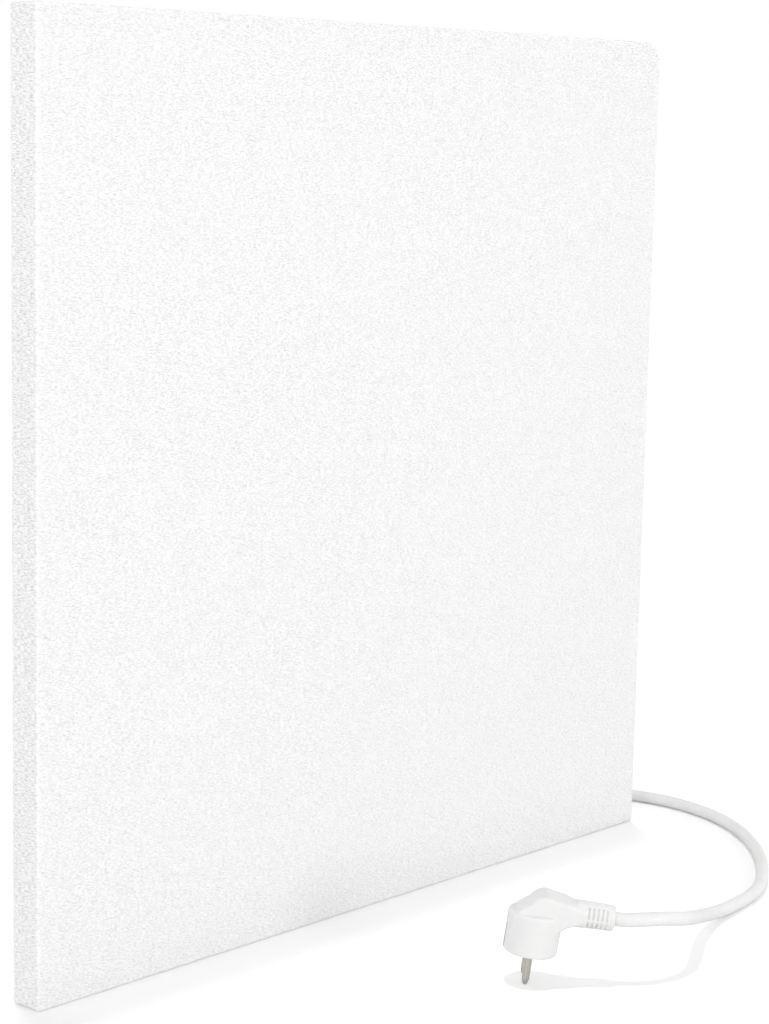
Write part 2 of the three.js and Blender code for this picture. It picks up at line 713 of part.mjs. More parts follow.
function makeBoxLid() {
  const [x0, x1] = [boxX - BOX_WIDTH / 2, boxX + BOX_WIDTH / 2];
  const [z0, z1] = [boxBottom, boxBottom + BOX_HEIGHT];
  const radii = [1, 1, 1, 1].map(() => BOX_CORNER_RADIUS);
  const inset = BOX_WALL + FIT;
  const rimRadii = radii.map((radius) => Math.max(radius - inset, 0.5));
  const innerRadii = radii.map((radius) => Math.max(radius - inset - BOX_WALL, 0.4));
  const plate = slab(roundedOutline(x0, z0, x1, z1, radii), lidFront, wallPlane);
  const rimFront = lidFront - LID_RIM_DEPTH;
  const rim = slab(
    roundedOutline(x0 + inset, z0 + inset, x1 - inset, z1 - inset, rimRadii),
    rimFront,
    lidFront + FIT,
  );
  const far = inset + BOX_WALL;
  const room = slab(
    roundedOutline(x0 + far, z0 + far, x1 - far, z1 - far, innerRadii),
    rimFront - 1,
    lidFront,
  );
  const sunk = wallPlane - SCREW_HEAD_HEIGHT * 0.5;
  const pillars = lidScrewPlaces.map(([x, z]) =>
    rod(BOX_BOSS_RADIUS + 1, 'y', [x, rimFront, z], lidFront + FIT - rimFront),
  );
  const entryHalf = RELIEF_COLLAR_RADIUS + 2;
  const entry = block(boxX - entryHalf, boxX + entryHalf, rimFront - 1, lidFront, z0, z0 + far + 1);
  return without(joined([plate, rim.subtract(room), ...pillars]), [
    entry,
    ...holes(lidScrewPlaces, SCREW_RADIUS + FIT, rimFront - 1, wallPlane + 1),
    ...holes(lidScrewPlaces, SCREW_HEAD_RADIUS + FIT, lidScrewSeat, sunk + BOX_WALL),
  ]);
}

// The lid screws' heads sit in wells, flush with the back of the lid.
const lidScrewSeat = wallPlane - SCREW_HEAD_HEIGHT - 2 * FIT;

function makeTerminalBlock() {
  const y0 = boxInside + FIT;
  const body = block(
    boxX - BLOCK_WIDTH / 2,
    boxX + BLOCK_WIDTH / 2,
    y0,
    y0 + BLOCK_DEPTH,
    blockFoot,
    blockTop,
  );
  const poles = [0, 1, 2];
  const deep = BLOCK_HEIGHT * 0.3;
  const bores = poles.flatMap((pole) => [
    rod(POLE_BORE_RADIUS, 'z', [poleX(pole), poleY, blockTop - deep], deep + 1, 12),
    rod(POLE_BORE_RADIUS, 'z', [poleX(pole), poleY, blockFoot - 1], deep + 1, 12),
    rod(TERMINAL_SCREW_RADIUS + FIT, 'y', [poleX(pole), terminalScrewFoot - FIT, blockZ], BLOCK_DEPTH, 12),
  ]);
  return without(body, bores);
}

const terminalScrewFoot = boxInside + FIT + BLOCK_DEPTH - TERMINAL_SCREW_LENGTH - 1;

function makeTerminalScrew(pole) {
  const [x, y] = [poleX(pole), terminalScrewFoot];
  const screw = rod(TERMINAL_SCREW_RADIUS, 'y', [x, y, blockZ], TERMINAL_SCREW_LENGTH, 12);
  const top = y + TERMINAL_SCREW_LENGTH;
  const slot = block(x - 2, x + 2, top - 1, top + 1, blockZ - 0.35, blockZ + 0.35);
  return screw.subtract(slot);
}

// A flanged sleeve that keeps the leads off the steel edge of the hole.
function makeBush() {
  const outer = BUSH_BORE_RADIUS + BUSH_WALL;
  const [foot, shoulder] = [coverFront - FIT, boxInside + FIT];
  const profile = [
    [BUSH_BORE_RADIUS, foot],
    [outer, foot],
    [outer, shoulder],
    [BUSH_FLANGE_RADIUS, shoulder],
    [BUSH_FLANGE_RADIUS, shoulder + BUSH_FLANGE_HEIGHT],
    [BUSH_BORE_RADIUS, shoulder + BUSH_FLANGE_HEIGHT],
    [BUSH_BORE_RADIUS, foot],
  ];
  return turned(profile, 'y', [bushPlace[0], 0, bushPlace[1]], BUSH_SEGMENTS);
}

function makeEarthStud() {
  const headBack = coverFront - FIT;
  const profile = [
    [0, headBack - STUD_HEAD_HEIGHT],
    [STUD_HEAD_RADIUS, headBack - STUD_HEAD_HEIGHT],
    [STUD_HEAD_RADIUS, headBack],
    [STUD_RADIUS, headBack],
    [STUD_RADIUS, coverBack + STUD_LENGTH - 0.5],
    [STUD_RADIUS - 0.5, coverBack + STUD_LENGTH],
    [0, coverBack + STUD_LENGTH],
  ];
  return turned(profile, 'y', [studPlace[0], 0, studPlace[1]], 14);
}

const tagFront = coverBack + FIT;
const nutFront = tagFront + TAG_THICKNESS + FIT;
const lugFront = boxInside + FIT + LEAD_RADIUS;

// A ring tag, stepped up out of the window in the box floor to a lug for the earth lead.
function makeEarthTag() {
  const [x, z] = studPlace;
  const [x0, x1] = [x - LUG_WIDTH / 2, x + LUG_WIDTH / 2];
  const step = z - TAG_RISE;
  const ring = rod(TAG_RADIUS, 'y', [x, tagFront, z], TAG_THICKNESS, 18);
  const tail = block(x0, x1, tagFront, tagFront + TAG_THICKNESS, step, z);
  const rise = block(x0, x1, tagFront, lugFront + TAG_THICKNESS, step, step + TAG_THICKNESS);
  const lug = block(x0, x1, lugFront, lugFront + TAG_THICKNESS, step - TAG_LUG, step + TAG_THICKNESS);
  const stud = holes([studPlace], STUD_RADIUS + FIT, tagFront - 1, tagFront + 2);
  return without(joined([ring, tail, rise, lug]), stud);
}

function makeEarthNut() {
  const [x, z] = studPlace;
  const hex = rod(NUT_RADIUS, 'y', [x, nutFront, z], NUT_HEIGHT, 6);
  return hex.subtract(rod(STUD_RADIUS + FIT, 'y', [x, nutFront - 1, z], NUT_HEIGHT + 2, 14));
}

// ---------- Moulded relief where the lead enters the box ----------

const reliefTop = boxBottom + BOX_WALL + FIT + RELIEF_COLLAR_HEIGHT;
const reliefExit = boxBottom - FIT - RELIEF_LENGTH;

function makeCordRelief() {
  const flange = boxBottom - FIT;
  const profile = [[0, reliefExit], [RELIEF_END_RADIUS, reliefExit]];
  const ribs = 4;
  const ribPitch = (RELIEF_LENGTH - 8) / ribs;
  for (let rib = 0; rib < ribs; rib += 1) {
    const base = reliefExit + 3 + rib * ribPitch;
    const grown = ((rib + 0.5) / ribs) * (RELIEF_BASE_RADIUS - 2 - RELIEF_END_RADIUS);
    const radius = RELIEF_END_RADIUS + grown + 0.6;
    profile.push([radius, base], [radius - 1, base + 0.4]);
    profile.push([radius - 1, base + 1.6], [radius, base + 2]);
  }
  profile.push([RELIEF_BASE_RADIUS, flange - 3], [RELIEF_BASE_RADIUS, flange]);
  profile.push([RELIEF_NECK_RADIUS, flange], [RELIEF_NECK_RADIUS, boxBottom + BOX_WALL + FIT]);
  profile.push([RELIEF_COLLAR_RADIUS, boxBottom + BOX_WALL + FIT], [RELIEF_COLLAR_RADIUS - 1, reliefTop]);
  profile.push([0, reliefTop]);
  return turned(profile, 'z', [boxX, boxMiddle, 0], 14);
}

// The three cores leave the sheath inside the box and rise to their poles.
function corePoints(pole) {
  const spread = (pole - 1) * 3;
  return [
    [boxX + spread, boxMiddle, reliefTop + FIT],
    [boxX + spread, boxMiddle, reliefTop + 4],
    [(boxX + spread + poleX(pole)) / 2, (boxMiddle + poleY) / 2, (reliefTop + blockFoot) / 2 + 1],
    [poleX(pole), poleY, blockFoot - 4],
    [poleX(pole), poleY, blockFoot - FIT],
  ];
}

function earthLeadPoints() {
  const [x, z] = studPlace;
  const lugFoot = z - TAG_RISE - TAG_LUG - FIT;
  const lugMiddle = lugFront + TAG_THICKNESS / 2;
  return [
    [poleX(2), poleY, blockTop + FIT],
    [poleX(2) + 0.5, poleY, blockTop + 3],
    [x - 0.5, lugMiddle, lugFoot - 3],
    [x, lugMiddle, lugFoot],
  ];
}

// ---------- Hangers and spacers ----------

// A hat-shaped strap: two feet on the cover and a raised bridge with a keyhole.
function makeHanger(side) {
  const centre = side * hangerX;
  const half = HANGER_WIDTH / 2;
  const footFront = coverBack + FIT;
  const footBack = footFront + HANGER_SHEET;
  const [z0, z1] = [hangerZ - HANGER_HEIGHT / 2, hangerZ + HANGER_HEIGHT / 2];
  const profile = new THREE.Shape();
  const inner = half - HANGER_FOOT;
  profile.moveTo(-half, footFront);
  profile.lineTo(-inner, footFront);
  profile.lineTo(-inner, wallPlane - HANGER_SHEET);
  profile.lineTo(inner, wallPlane - HANGER_SHEET);
  profile.lineTo(inner, footFront);
  profile.lineTo(half, footFront);
  profile.lineTo(half, footBack);
  profile.lineTo(inner + HANGER_SHEET, footBack);
  profile.lineTo(inner + HANGER_SHEET, wallPlane);
  profile.lineTo(-inner - HANGER_SHEET, wallPlane);
  profile.lineTo(-inner - HANGER_SHEET, footBack);
  profile.lineTo(-half, footBack);
  const geometry = new THREE.ExtrudeGeometry(profile, { depth: z1 - z0, bevelEnabled: false });
  geometry.translate(centre, 0, z0);
  const [y0, y1] = [wallPlane - HANGER_SHEET - 1, wallPlane + 1];
  const eye = hangerZ - KEYHOLE_RISE / 2;
  const slotHalf = KEYHOLE_SLOT / 2;
  return without(solidOf(geometry), [
    rod(KEYHOLE_RADIUS, 'y', [centre, y0, eye], y1 - y0, 20),
    block(centre - slotHalf, centre + slotHalf, y0, y1, eye, eye + KEYHOLE_RISE),
    rod(slotHalf, 'y', [centre, y0, eye + KEYHOLE_RISE], y1 - y0, 12),
    ...holes(rivetPlaces, RIVET_RADIUS + FIT, footFront - 1, footBack + 1),
  ]);
}

// A soft bumper pushed into the cover, which keeps the lower edge off the wall.
function makeSpacer([x, z]) {
  const foot = coverBack + FIT;
  const profile = [
    [0, foot - SPACER_STUD_LENGTH],
    [SPACER_STUD_RADIUS * 0.6, foot - SPACER_STUD_LENGTH],
    [SPACER_STUD_RADIUS, foot - SPACER_STUD_LENGTH + 1],
    [SPACER_STUD_RADIUS, foot],
    [SPACER_RADIUS, foot],
    [SPACER_RADIUS, foot + 3],
    [SPACER_TIP_RADIUS, wallPlane - 1],
    [SPACER_TIP_RADIUS - 1, wallPlane],
    [0, wallPlane],
  ];
  return turned(profile, 'y', [x, 0, z], 16);
}

// ---------- Plug, built upright on its pin tips and then leaned over ----------

const plugFace = PIN_LENGTH;
const exitRise = plugFace + PLUG_EXIT_RISE;
const reliefStart = PLUG_REACH - PLUG_RELIEF_LENGTH;

function plugArmOutline() {
  const low = exitRise - PLUG_RELIEF_RADIUS;
  const high = exitRise + PLUG_RELIEF_RADIUS;
  const back = -PUCK_RADIUS + PUCK_EDGE;
  const outline = new THREE.Shape();
  outline.moveTo(back, plugFace + PUCK_HEIGHT / 2);
  outline.lineTo(PUCK_RADIUS - PUCK_EDGE, plugFace + PUCK_HEIGHT / 2);
  outline.quadraticCurveTo(PUCK_RADIUS - 1, low, reliefStart + 2, low);
  outline.lineTo(reliefStart + 2, high);
  outline.quadraticCurveTo(PUCK_RADIUS, high + 1, 9, high + 2.7);
  outline.quadraticCurveTo(2, high + 3.4, -4, high - 2.7);
  outline.quadraticCurveTo(back, high - 8, back, plugFace + PUCK_HEIGHT - 2);
  return outline;
}

function makePlugArm() {
  const options = {
    depth: PLUG_ARM_WIDTH - 2 * PLUG_ARM_ROUND,
    bevelThickness: PLUG_ARM_ROUND,
    bevelSize: PLUG_ARM_ROUND * 0.6,
    bevelOffset: -PLUG_ARM_ROUND * 0.6,
    bevelSegments: 3,
    curveSegments: 4,
  };
  const geometry = new THREE.ExtrudeGeometry(plugArmOutline(), options);
  geometry.translate(0, 0, -options.depth / 2);
  geometry.rotateX(Math.PI / 2);
  return solidOf(geometry);
}

// The ribbed tail of the plug, turned about the lead's axis.
function makePlugRelief() {
  const profile = [[0, 0], [PLUG_RELIEF_RADIUS, 0]];
  const last = PLUG_RELIEF_LENGTH - GROOVE_MARGIN - GROOVE_WIDTH;
  for (let i = GROOVE_COUNT - 1; i >= 0; i -= 1) {
    const at = last - i * GROOVE_PITCH;
    const radius = PLUG_RELIEF_RADIUS;
    profile.push([radius, at - 0.3], [radius - GROOVE_DEPTH, at]);
    profile.push([radius - GROOVE_DEPTH, at + GROOVE_WIDTH], [radius, at + GROOVE_WIDTH + 0.3]);
  }
  profile.push([PLUG_RELIEF_END_RADIUS, PLUG_RELIEF_LENGTH], [0, PLUG_RELIEF_LENGTH]);
  return turned(profile, 'x', [reliefStart, 0, exitRise], 14);
}

function makePlugBody() {
  const top = plugFace + PUCK_HEIGHT;
  const profile = [
    [0, plugFace],
    [PUCK_RADIUS - 1, plugFace],
    [PUCK_RADIUS, plugFace + 1],
    [PUCK_RADIUS, top - PUCK_EDGE * 2],
    [PUCK_RADIUS - PUCK_EDGE * 0.6, top - PUCK_EDGE * 0.7],
    [PUCK_RADIUS - PUCK_EDGE * 2, top],
    [0, top],
  ];
  const puck = turned(profile, 'z', [0, 0, 0], 26);
  const pinBores = [-1, 1].map((side) =>
    rod(PIN_RADIUS + FIT, 'z', [0, (side * PIN_PITCH) / 2, plugFace - 1], PIN_ROOT + 1 + FIT),
  );
  const notches = [-1, 1].map((side) => {
    const near = side * (PUCK_RADIUS - NOTCH_DEPTH);
    const far = side * (PUCK_RADIUS + 2);
    const [x0, x1] = [Math.min(near, far), Math.max(near, far)];
    return block(x0, x1, -NOTCH_WIDTH / 2, NOTCH_WIDTH / 2, plugFace - 1, plugFace + NOTCH_HEIGHT);
  });
  return without(joined([puck, makePlugArm(), makePlugRelief()]), [...pinBores, ...notches]);
}

function makePin(side) {
  const profile = [[0, 0]];
  const rounds = 3;
  for (let i = 1; i <= rounds; i += 1) {
    const turn = (i / rounds) * (Math.PI / 2);
    profile.push([PIN_RADIUS * Math.sin(turn), PIN_RADIUS * (1 - Math.cos(turn))]);
  }
  profile.push([PIN_RADIUS, PIN_LENGTH + PIN_ROOT], [0, PIN_LENGTH + PIN_ROOT]);
  return turned(profile, 'z', [0, (side * PIN_PITCH) / 2, 0]);
}

function makeEarthStrip(side) {
  const near = side * (PUCK_RADIUS - NOTCH_DEPTH + FIT);
  const far = near + side * EARTH_STRIP_THICKNESS;
  const [x0, x1] = [Math.min(near, far), Math.max(near, far)];
  const half = EARTH_STRIP_WIDTH / 2;
  return block(x0, x1, -half, half, plugFace + 1, plugFace + NOTCH_HEIGHT - FIT);
}

// ---------- Route of the lead ----------

const coilLift = TIE_THICKNESS + FIT;
const coilFloor = coilLift + cordRadius;

// Turns that spiral in on the lower layer and out again on the upper one, with the climb in
// the half turn where the spiral reverses. Each end runs straight for one diameter.
function coilPoints() {
  const steps = COIL_TURNS * COIL_STEPS;
  const half = COIL_TURNS / 2;
  const points = [];
  for (let i = 0; i <= steps; i += 1) {
    const turns = i / COIL_STEPS;
    const radius = COIL_OUTER_TURN_RADIUS - COIL_PITCH * (half - Math.abs(turns - half));
    const climb = THREE.MathUtils.smoothstep(turns, half - 0.25, half + 0.25);
    const angle = Math.PI / 2 + turns * 2 * Math.PI;
    points.push([
      COIL_CENTRE_X + radius * Math.cos(angle),
      COIL_CENTRE_Y + radius * Math.sin(angle),
      coilFloor + climb * COIL_LAYER,
    ]);
  }
  const [first, last] = [points[0], points[points.length - 1]];
  points.unshift([first[0] + CORD_DIAMETER, first[1], first[2]]);
  points.push([last[0] + CORD_DIAMETER, last[1], last[2]]);
  return points;
}

// Least distance between the surfaces of turns that are at least a third of a turn apart.
function leastGap(points) {
  let least = Infinity;
  const skip = COIL_STEPS / 3;
  points.forEach((a, i) => {
    points.slice(i + skip).forEach((b) => {
      least = Math.min(least, Math.hypot(a[0] - b[0], a[1] - b[1], a[2] - b[2]) - CORD_DIAMETER);
    });
  });
  return least;
}

function lengthOf(points) {
  return new THREE.CatmullRomCurve3(points.map((p) => new THREE.Vector3(...p))).getLength();
}

const coil = coilPoints();
const coilStart = coil[0];
const coilEnd = coil[coil.length - 1];

// From the plug it bends left while it sinks to the floor, swings out to the right and goes
// round behind the panel to the coil.
function runPoints(plug) {
  const out = new THREE.Vector3(1, 0, 0).applyEuler(plug.rotation);
  const exit = new THREE.Vector3(PLUG_REACH + FIT, 0, exitRise).applyEuler(plug.rotation).add(plug.position);
  const low = cordRadius + 0.1;
  const [endX, endY, endZ] = coilStart;
  return [
    exit.toArray(),
    exit.clone().addScaledVector(out, 4).toArray(),
    [8.2, -245.4, 39.7],
    [18.4, -250.9, 39.7],
    [29.6, -253.8, 38.2],
    [41.2, -254, 35.8],
    [52.4, -251.4, 33.2],
    [65, -245.3, 29.2],
    [77.4, -238.3, 24.8],
    [89.6, -231.2, 20.6],
    [102.2, -224.8, 16.4],
    [115.4, -219.2, 12.8],
    [129, -214.6, 9.8],
    [143, -210.8, 6.9],
    [164, -207.4, 5],
    [186, -204.5, low],
    [206, -199.3, low],
    [226, -190.5, low],
    [245, -179, low],
    [264, -166, low],
    [283, -151, low],
    [301, -134, low],
    [317, -116, low],
    [331, -96, low],
    [342, -75, low],
    [349.5, -52, low],
    [353, -29, low],
    [352.3, -8, low],
    [347.7, 12, low],
    [339.5, 31.5, low],
    [329, 50.7, low],
    [317, 69.4, low],
    [303.6, 87, low],
    [287, 103.7, low],
    [267.5, 118, 4.8],
    [245, 128.2, 5.3],
    [227, 132, 5.8],
    [endX + FIT + CORD_DIAMETER, endY, endZ],
    [endX + FIT, endY, endZ],
  ];
}

// From the box it drops straight, then bends over and lies down on the upper turns.
function leadPoints() {
  const [endX, endY, endZ] = coilEnd;
  return [
    [boxX, boxMiddle, reliefExit - FIT],
    [boxX, boxMiddle, reliefExit - 13],
    [250, 12.8, 55.5],
    [247, 13.3, 40.2],
    [238.3, 14.4, 27.2],
    [225.3, 16, 18.5],
    [endX + FIT + 6, endY, endZ],
    [endX + FIT, endY, endZ],
  ];
}

// A strap round the two by two turns on the side of the coil away from the box.
function makeTie() {
  const quarter = COIL_OUTER_TURN_RADIUS - COIL_PITCH * 0.25;
  const outer = quarter + cordRadius + TIE_CLEARANCE;
  const inner = quarter - COIL_PITCH - cordRadius - TIE_CLEARANCE;
  const height = coilFloor + COIL_LAYER + cordRadius + FIT;
  const t = TIE_THICKNESS;
  const [x0, x1] = [COIL_CENTRE_X - outer, COIL_CENTRE_X - inner];
  const strap = roundedOutline(x0 - t, 0, x1 + t, height + t, [3 + t, 3 + t, 3 + t, 3 + t]);
  strap.holes.push(roundedOutline(x0, t, x1, height, [3, 3, 3, 3]));
  return slab(strap, COIL_CENTRE_Y - TIE_WIDTH / 2, COIL_CENTRE_Y + TIE_WIDTH / 2, 4);
}

// ---------- Assembly ----------

const WHITE_COAT = [0xf2f2f1, 0.62, 0.1];
const ZINC = [0xb9bcbe, 0.4, 0.9];
const WHITE_PLASTIC = [0xededec, 0.45, 0];
const BRASS = [0xc9a55a, 0.35, 0.9];

addPart('front_housing', makeHousing(), ...WHITE_COAT);
addPart('heating_carrier', layerSheet(carrierBack - CARRIER_THICKNESS, carrierBack), 0x8a7b52, 0.6, 0);
addPart(
  'heating_conductor',
  slab(stripOutline(conductorLine(), STRIP_WIDTH), conductorBack - CONDUCTOR_THICKNESS, conductorBack),
  0x3a3b3d,
  0.5,
  0.4,
);
addPart('contact_tab_live', makeTab(startTab), ...BRASS);
addPart('contact_tab_neutral', makeTab(returnTab), ...BRASS);
const filmSheet = layerSheet(filmBack - FILM_THICKNESS, filmBack);
addPart('insulating_film', without(filmSheet, tabWindows(conductorBack, foilBack)), 0xc98a3c, 0.3, 0);
const foilSheet = layerSheet(foilBack - FOIL_THICKNESS, foilBack);
addPart(
  'reflector_foil',
  without(foilSheet, [...tabWindows(filmBack, foilBack + FIT), ...limiterWindows(filmBack, foilBack + FIT)]),
  0xd8dadb,
  0.2,
  1,
);
addPart('insulation_board', makeInsulationBoard(), 0xe6dfc8, 0.95, 0);
addPart('back_cover', makeBackCover(), ...WHITE_COAT);
coverScrewPlaces.forEach((place, i) => {
  addPart(`cover_screw_${i + 1}`, panScrew(place, coverBack), ...ZINC);
});

limiterPlaces.forEach((place, i) => {
  addPart(`thermal_limiter_${i + 1}`, makeLimiter(place), 0x2c2b2a, 0.5, 0.1);
});
addPart('live_lead', tube(liveLeadPoints(), LEAD_RADIUS, 6, 34), 0x7a4a2b, 0.6, 0);
addPart('link_lead', tube(linkLeadPoints(), LEAD_RADIUS, 6, 2), 0x7a4a2b, 0.6, 0);
addPart('element_lead', tube(elementLeadPoints(), LEAD_RADIUS, 6, 26), 0x7a4a2b, 0.6, 0);
addPart('neutral_lead', tube(neutralLeadPoints(), LEAD_RADIUS, 6, 44), 0x2f5f9e, 0.6, 0);

addPart('box_base', makeBoxBase(), ...WHITE_PLASTIC);
addPart('box_lid', makeBoxLid(), ...WHITE_PLASTIC);
lidScrewPlaces.forEach((place, i) => {
  addPart(`lid_screw_${i + 1}`, panScrew(place, lidScrewSeat), ...ZINC);
});
boxScrewPlaces.forEach((place, i) => {
  addPart(`box_screw_${i + 1}`, panScrew(place, boxInside), ...ZINC);
});
addPart('terminal_block', makeTerminalBlock(), 0xf0ede4, 0.5, 0);
[0, 1, 2].forEach((pole) => {
  addPart(`terminal_screw_${pole + 1}`, makeTerminalScrew(pole), ...BRASS);
});
addPart('wire_bush', makeBush(), 0x2a2a2a, 0.7, 0);
addPart('earth_stud', makeEarthStud(), ...ZINC);
addPart('earth_tag', makeEarthTag(), ...BRASS);
addPart('earth_nut', makeEarthNut(), ...ZINC);
addPart('earth_lead', tube(earthLeadPoints(), LEAD_RADIUS, 6, 12), 0x8fae3a, 0.6, 0);
addPart('core_live', tube(corePoints(0), CORE_RADIUS, 6, 12), 0x7a4a2b, 0.6, 0);
addPart('core_neutral', tube(corePoints(1), CORE_RADIUS, 6, 12), 0x2f5f9e, 0.6, 0);
addPart('core_earth', tube(corePoints(2), CORE_RADIUS, 6, 12), 0x8fae3a, 0.6, 0);
addPart('cord_relief', makeCordRelief(), ...WHITE_PLASTIC);

[-1, 1].forEach((side) => {
  addPart(side < 0 ? 'hanger_left' : 'hanger_right', makeHanger(side), ...ZINC);
});
rivetPlaces.forEach((place, i) => {
  addPart(`hanger_rivet_${i + 1}`, hangerRivet(place), ...ZINC);
});
spacerPlaces.forEach((place, i) => {
  addPart(i ? 'spacer_right' : 'spacer_left', makeSpacer(place), 0xe9e9e8, 0.7, 0);
});

const plug = new THREE.Group();
plug.rotation.set(0, PLUG_TILT, PLUG_HEADING, 'ZYX');
plug.position.set(PLUG_X, PLUG_Y, PIN_RADIUS * (1 - Math.cos(PLUG_TILT)));
heater.add(plug);
addPart('plug_body', makePlugBody(), 0xf0f0f0, 0.4, 0, plug);
[-1, 1].forEach((side, i) => {
  addPart(`plug_pin_${i + 1}`, makePin(side), 0xc4c0b8, 0.3, 1, plug);
  addPart(`plug_earth_contact_${i + 1}`, makeEarthStrip(side), 0xc4c0b8, 0.3, 1, plug);
});

const run = runPoints(plug);
const lead = leadPoints();
addPart('cord_run', tube(run, cordRadius, CORD_SIDES, 36), 0xeeeeed, 0.45, 0);
addPart('cord_coil', tube(coil, cordRadius, COIL_SIDES, COIL_TURNS * COIL_STEPS + 2), 0xeeeeed, 0.45, 0);
addPart('cord_lead', tube(lead, cordRadius, CORD_SIDES, 8), 0xeeeeed, 0.45, 0);
addPart('coil_tie', makeTie(), 0xe4e4e2, 0.8, 0);

const stretches = [run, coil, lead].map(lengthOf);
const cordLength = stretches.reduce((sum, length) => sum + length);
console.log(`coil: least gap to itself ${leastGap(coil).toFixed(2)} mm, measured on points`);
console.log(`cord: ${stretches.map((length) => length.toFixed(0)).join(' + ')} mm, run, coil and lead`);
console.log(`cord: ${cordLength.toFixed(0)} mm long from box to plug`);

export default heater;
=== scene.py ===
# %% [markdown]
# # Infrared panel heater, its looks
# A flat, white, powder-coated heating panel stands on its lower edge. Its mains lead comes round
# the right side and ends in a right-angled plug that stands on its pins in front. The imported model
# is the frame: each piece below lies where the frame has it, in metres, with +Z up and the panel's
# face towards -Y. The housing, the plug and the lead get fuller forms here, because the frame's own
# are faceted. The other pieces keep their shapes and get their finishes. The sizes of pieces are
# written in millimetres, and a piece is scaled to metres when it is put in the scene. The camera,
# the floor and the lamps are placed in metres.

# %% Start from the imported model
import json
import math

import bmesh
import bpy
from mathutils import Matrix, Vector

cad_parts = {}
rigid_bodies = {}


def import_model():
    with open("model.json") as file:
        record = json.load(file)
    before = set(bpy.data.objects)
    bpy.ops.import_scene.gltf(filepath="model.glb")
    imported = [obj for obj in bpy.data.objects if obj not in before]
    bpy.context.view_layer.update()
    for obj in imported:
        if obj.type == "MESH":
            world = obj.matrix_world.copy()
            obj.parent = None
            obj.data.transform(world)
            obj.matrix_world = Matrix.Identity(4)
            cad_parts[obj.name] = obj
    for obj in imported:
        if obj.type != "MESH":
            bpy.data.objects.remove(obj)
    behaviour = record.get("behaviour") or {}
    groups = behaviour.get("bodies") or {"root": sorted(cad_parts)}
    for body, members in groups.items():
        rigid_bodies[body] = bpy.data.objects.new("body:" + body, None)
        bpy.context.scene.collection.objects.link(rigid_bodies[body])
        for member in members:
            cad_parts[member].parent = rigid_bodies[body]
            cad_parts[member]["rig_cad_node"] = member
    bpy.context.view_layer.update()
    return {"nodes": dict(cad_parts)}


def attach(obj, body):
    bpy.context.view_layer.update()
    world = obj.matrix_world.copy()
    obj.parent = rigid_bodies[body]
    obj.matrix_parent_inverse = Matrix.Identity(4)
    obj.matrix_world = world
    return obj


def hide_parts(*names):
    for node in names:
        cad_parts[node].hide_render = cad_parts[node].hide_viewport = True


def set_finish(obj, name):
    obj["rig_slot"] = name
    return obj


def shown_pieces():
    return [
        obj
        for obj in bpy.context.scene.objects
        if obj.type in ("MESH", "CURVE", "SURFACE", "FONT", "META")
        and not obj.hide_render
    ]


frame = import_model()
MM = 0.001

# %% [markdown]
# ## Camera
# The photograph looks at the panel from its front left and a little from above. The place, heading
# and lens come from the panel's corners and straight edges, with its real size of 600 x 600 mm.

# %% Camera at the photograph's place
CAMERA_PLACE = (-1.20722, -1.11501, 0.53124)
VIEW_RIGHT = Vector((0.67262, -0.73971, 0.02044))
VIEW_UP = Vector((0.10096, 0.11910, 0.98774))
VIEW_FORWARD = Vector((0.73307, 0.66231, -0.15478))
FOCAL_LENGTH, SENSOR_WIDTH = 85.628, 36
NEAREST, FARTHEST = 0.05, 60


def in_scene(name, data):
    """A new object that the scene shows."""
    made = bpy.data.objects.new(name, data)
    bpy.context.scene.collection.objects.link(made)
    return made


lens = bpy.data.cameras.new("photo_camera")
lens.lens = FOCAL_LENGTH
lens.sensor_width = SENSOR_WIDTH
lens.sensor_fit = "AUTO"
lens.clip_start, lens.clip_end = NEAREST, FARTHEST
camera = in_scene("photo_camera", lens)
turn = Matrix((VIEW_RIGHT, VIEW_UP, -VIEW_FORWARD)).transposed().to_4x4()
camera.matrix_world = Matrix.Translation(CAMERA_PLACE) @ turn
bpy.context.scene.camera = camera
bpy.context.scene.view_settings.view_transform = "Standard"
print("camera at", [round(v, 3) for v in camera.location])

# %% [markdown]
# ## Mains lead
# It is one round sheathed cable, 9 mm thick and about 1.9 m long. It leaves the connection box
# downwards, turns to the floor behind the panel, and its spare length is wound there into a tied
# coil of three and a half turns: inwards on an upper layer, down at the inside, and outwards on a
# lower one. From the coil it comes round the panel's right side in one wide bow and rises into the
# plug, which stands on its pins and leans towards its arm. The points outside the coil are listed.
# One curve with a round bevel is the right thing for a cable.

# %% The lead's way
LEAD_DIAMETER = 9
COIL_CENTRE = (195, 75)
COIL_OUTER = 58
COIL_TURNS = 3.5
COIL_PITCH = 9.7
COIL_LOW, COIL_LAYER = 6, 9.5
CLIMB_FROM, CLIMB_TO = 1.5, 2
COIL_FEED, COIL_LEAVE = (204, 17, 15.5), (204, 133, 6)
COIL_STEPS = 24
PLUG_AT = (-42, -190)
PLUG_HEADING = math.radians(-49)
PLUG_TILT = math.radians(7.5)
PIN_RADIUS = 2.4
LEAD_RISE, LEAD_INTO_PLUG = 48.5, (57, 48)

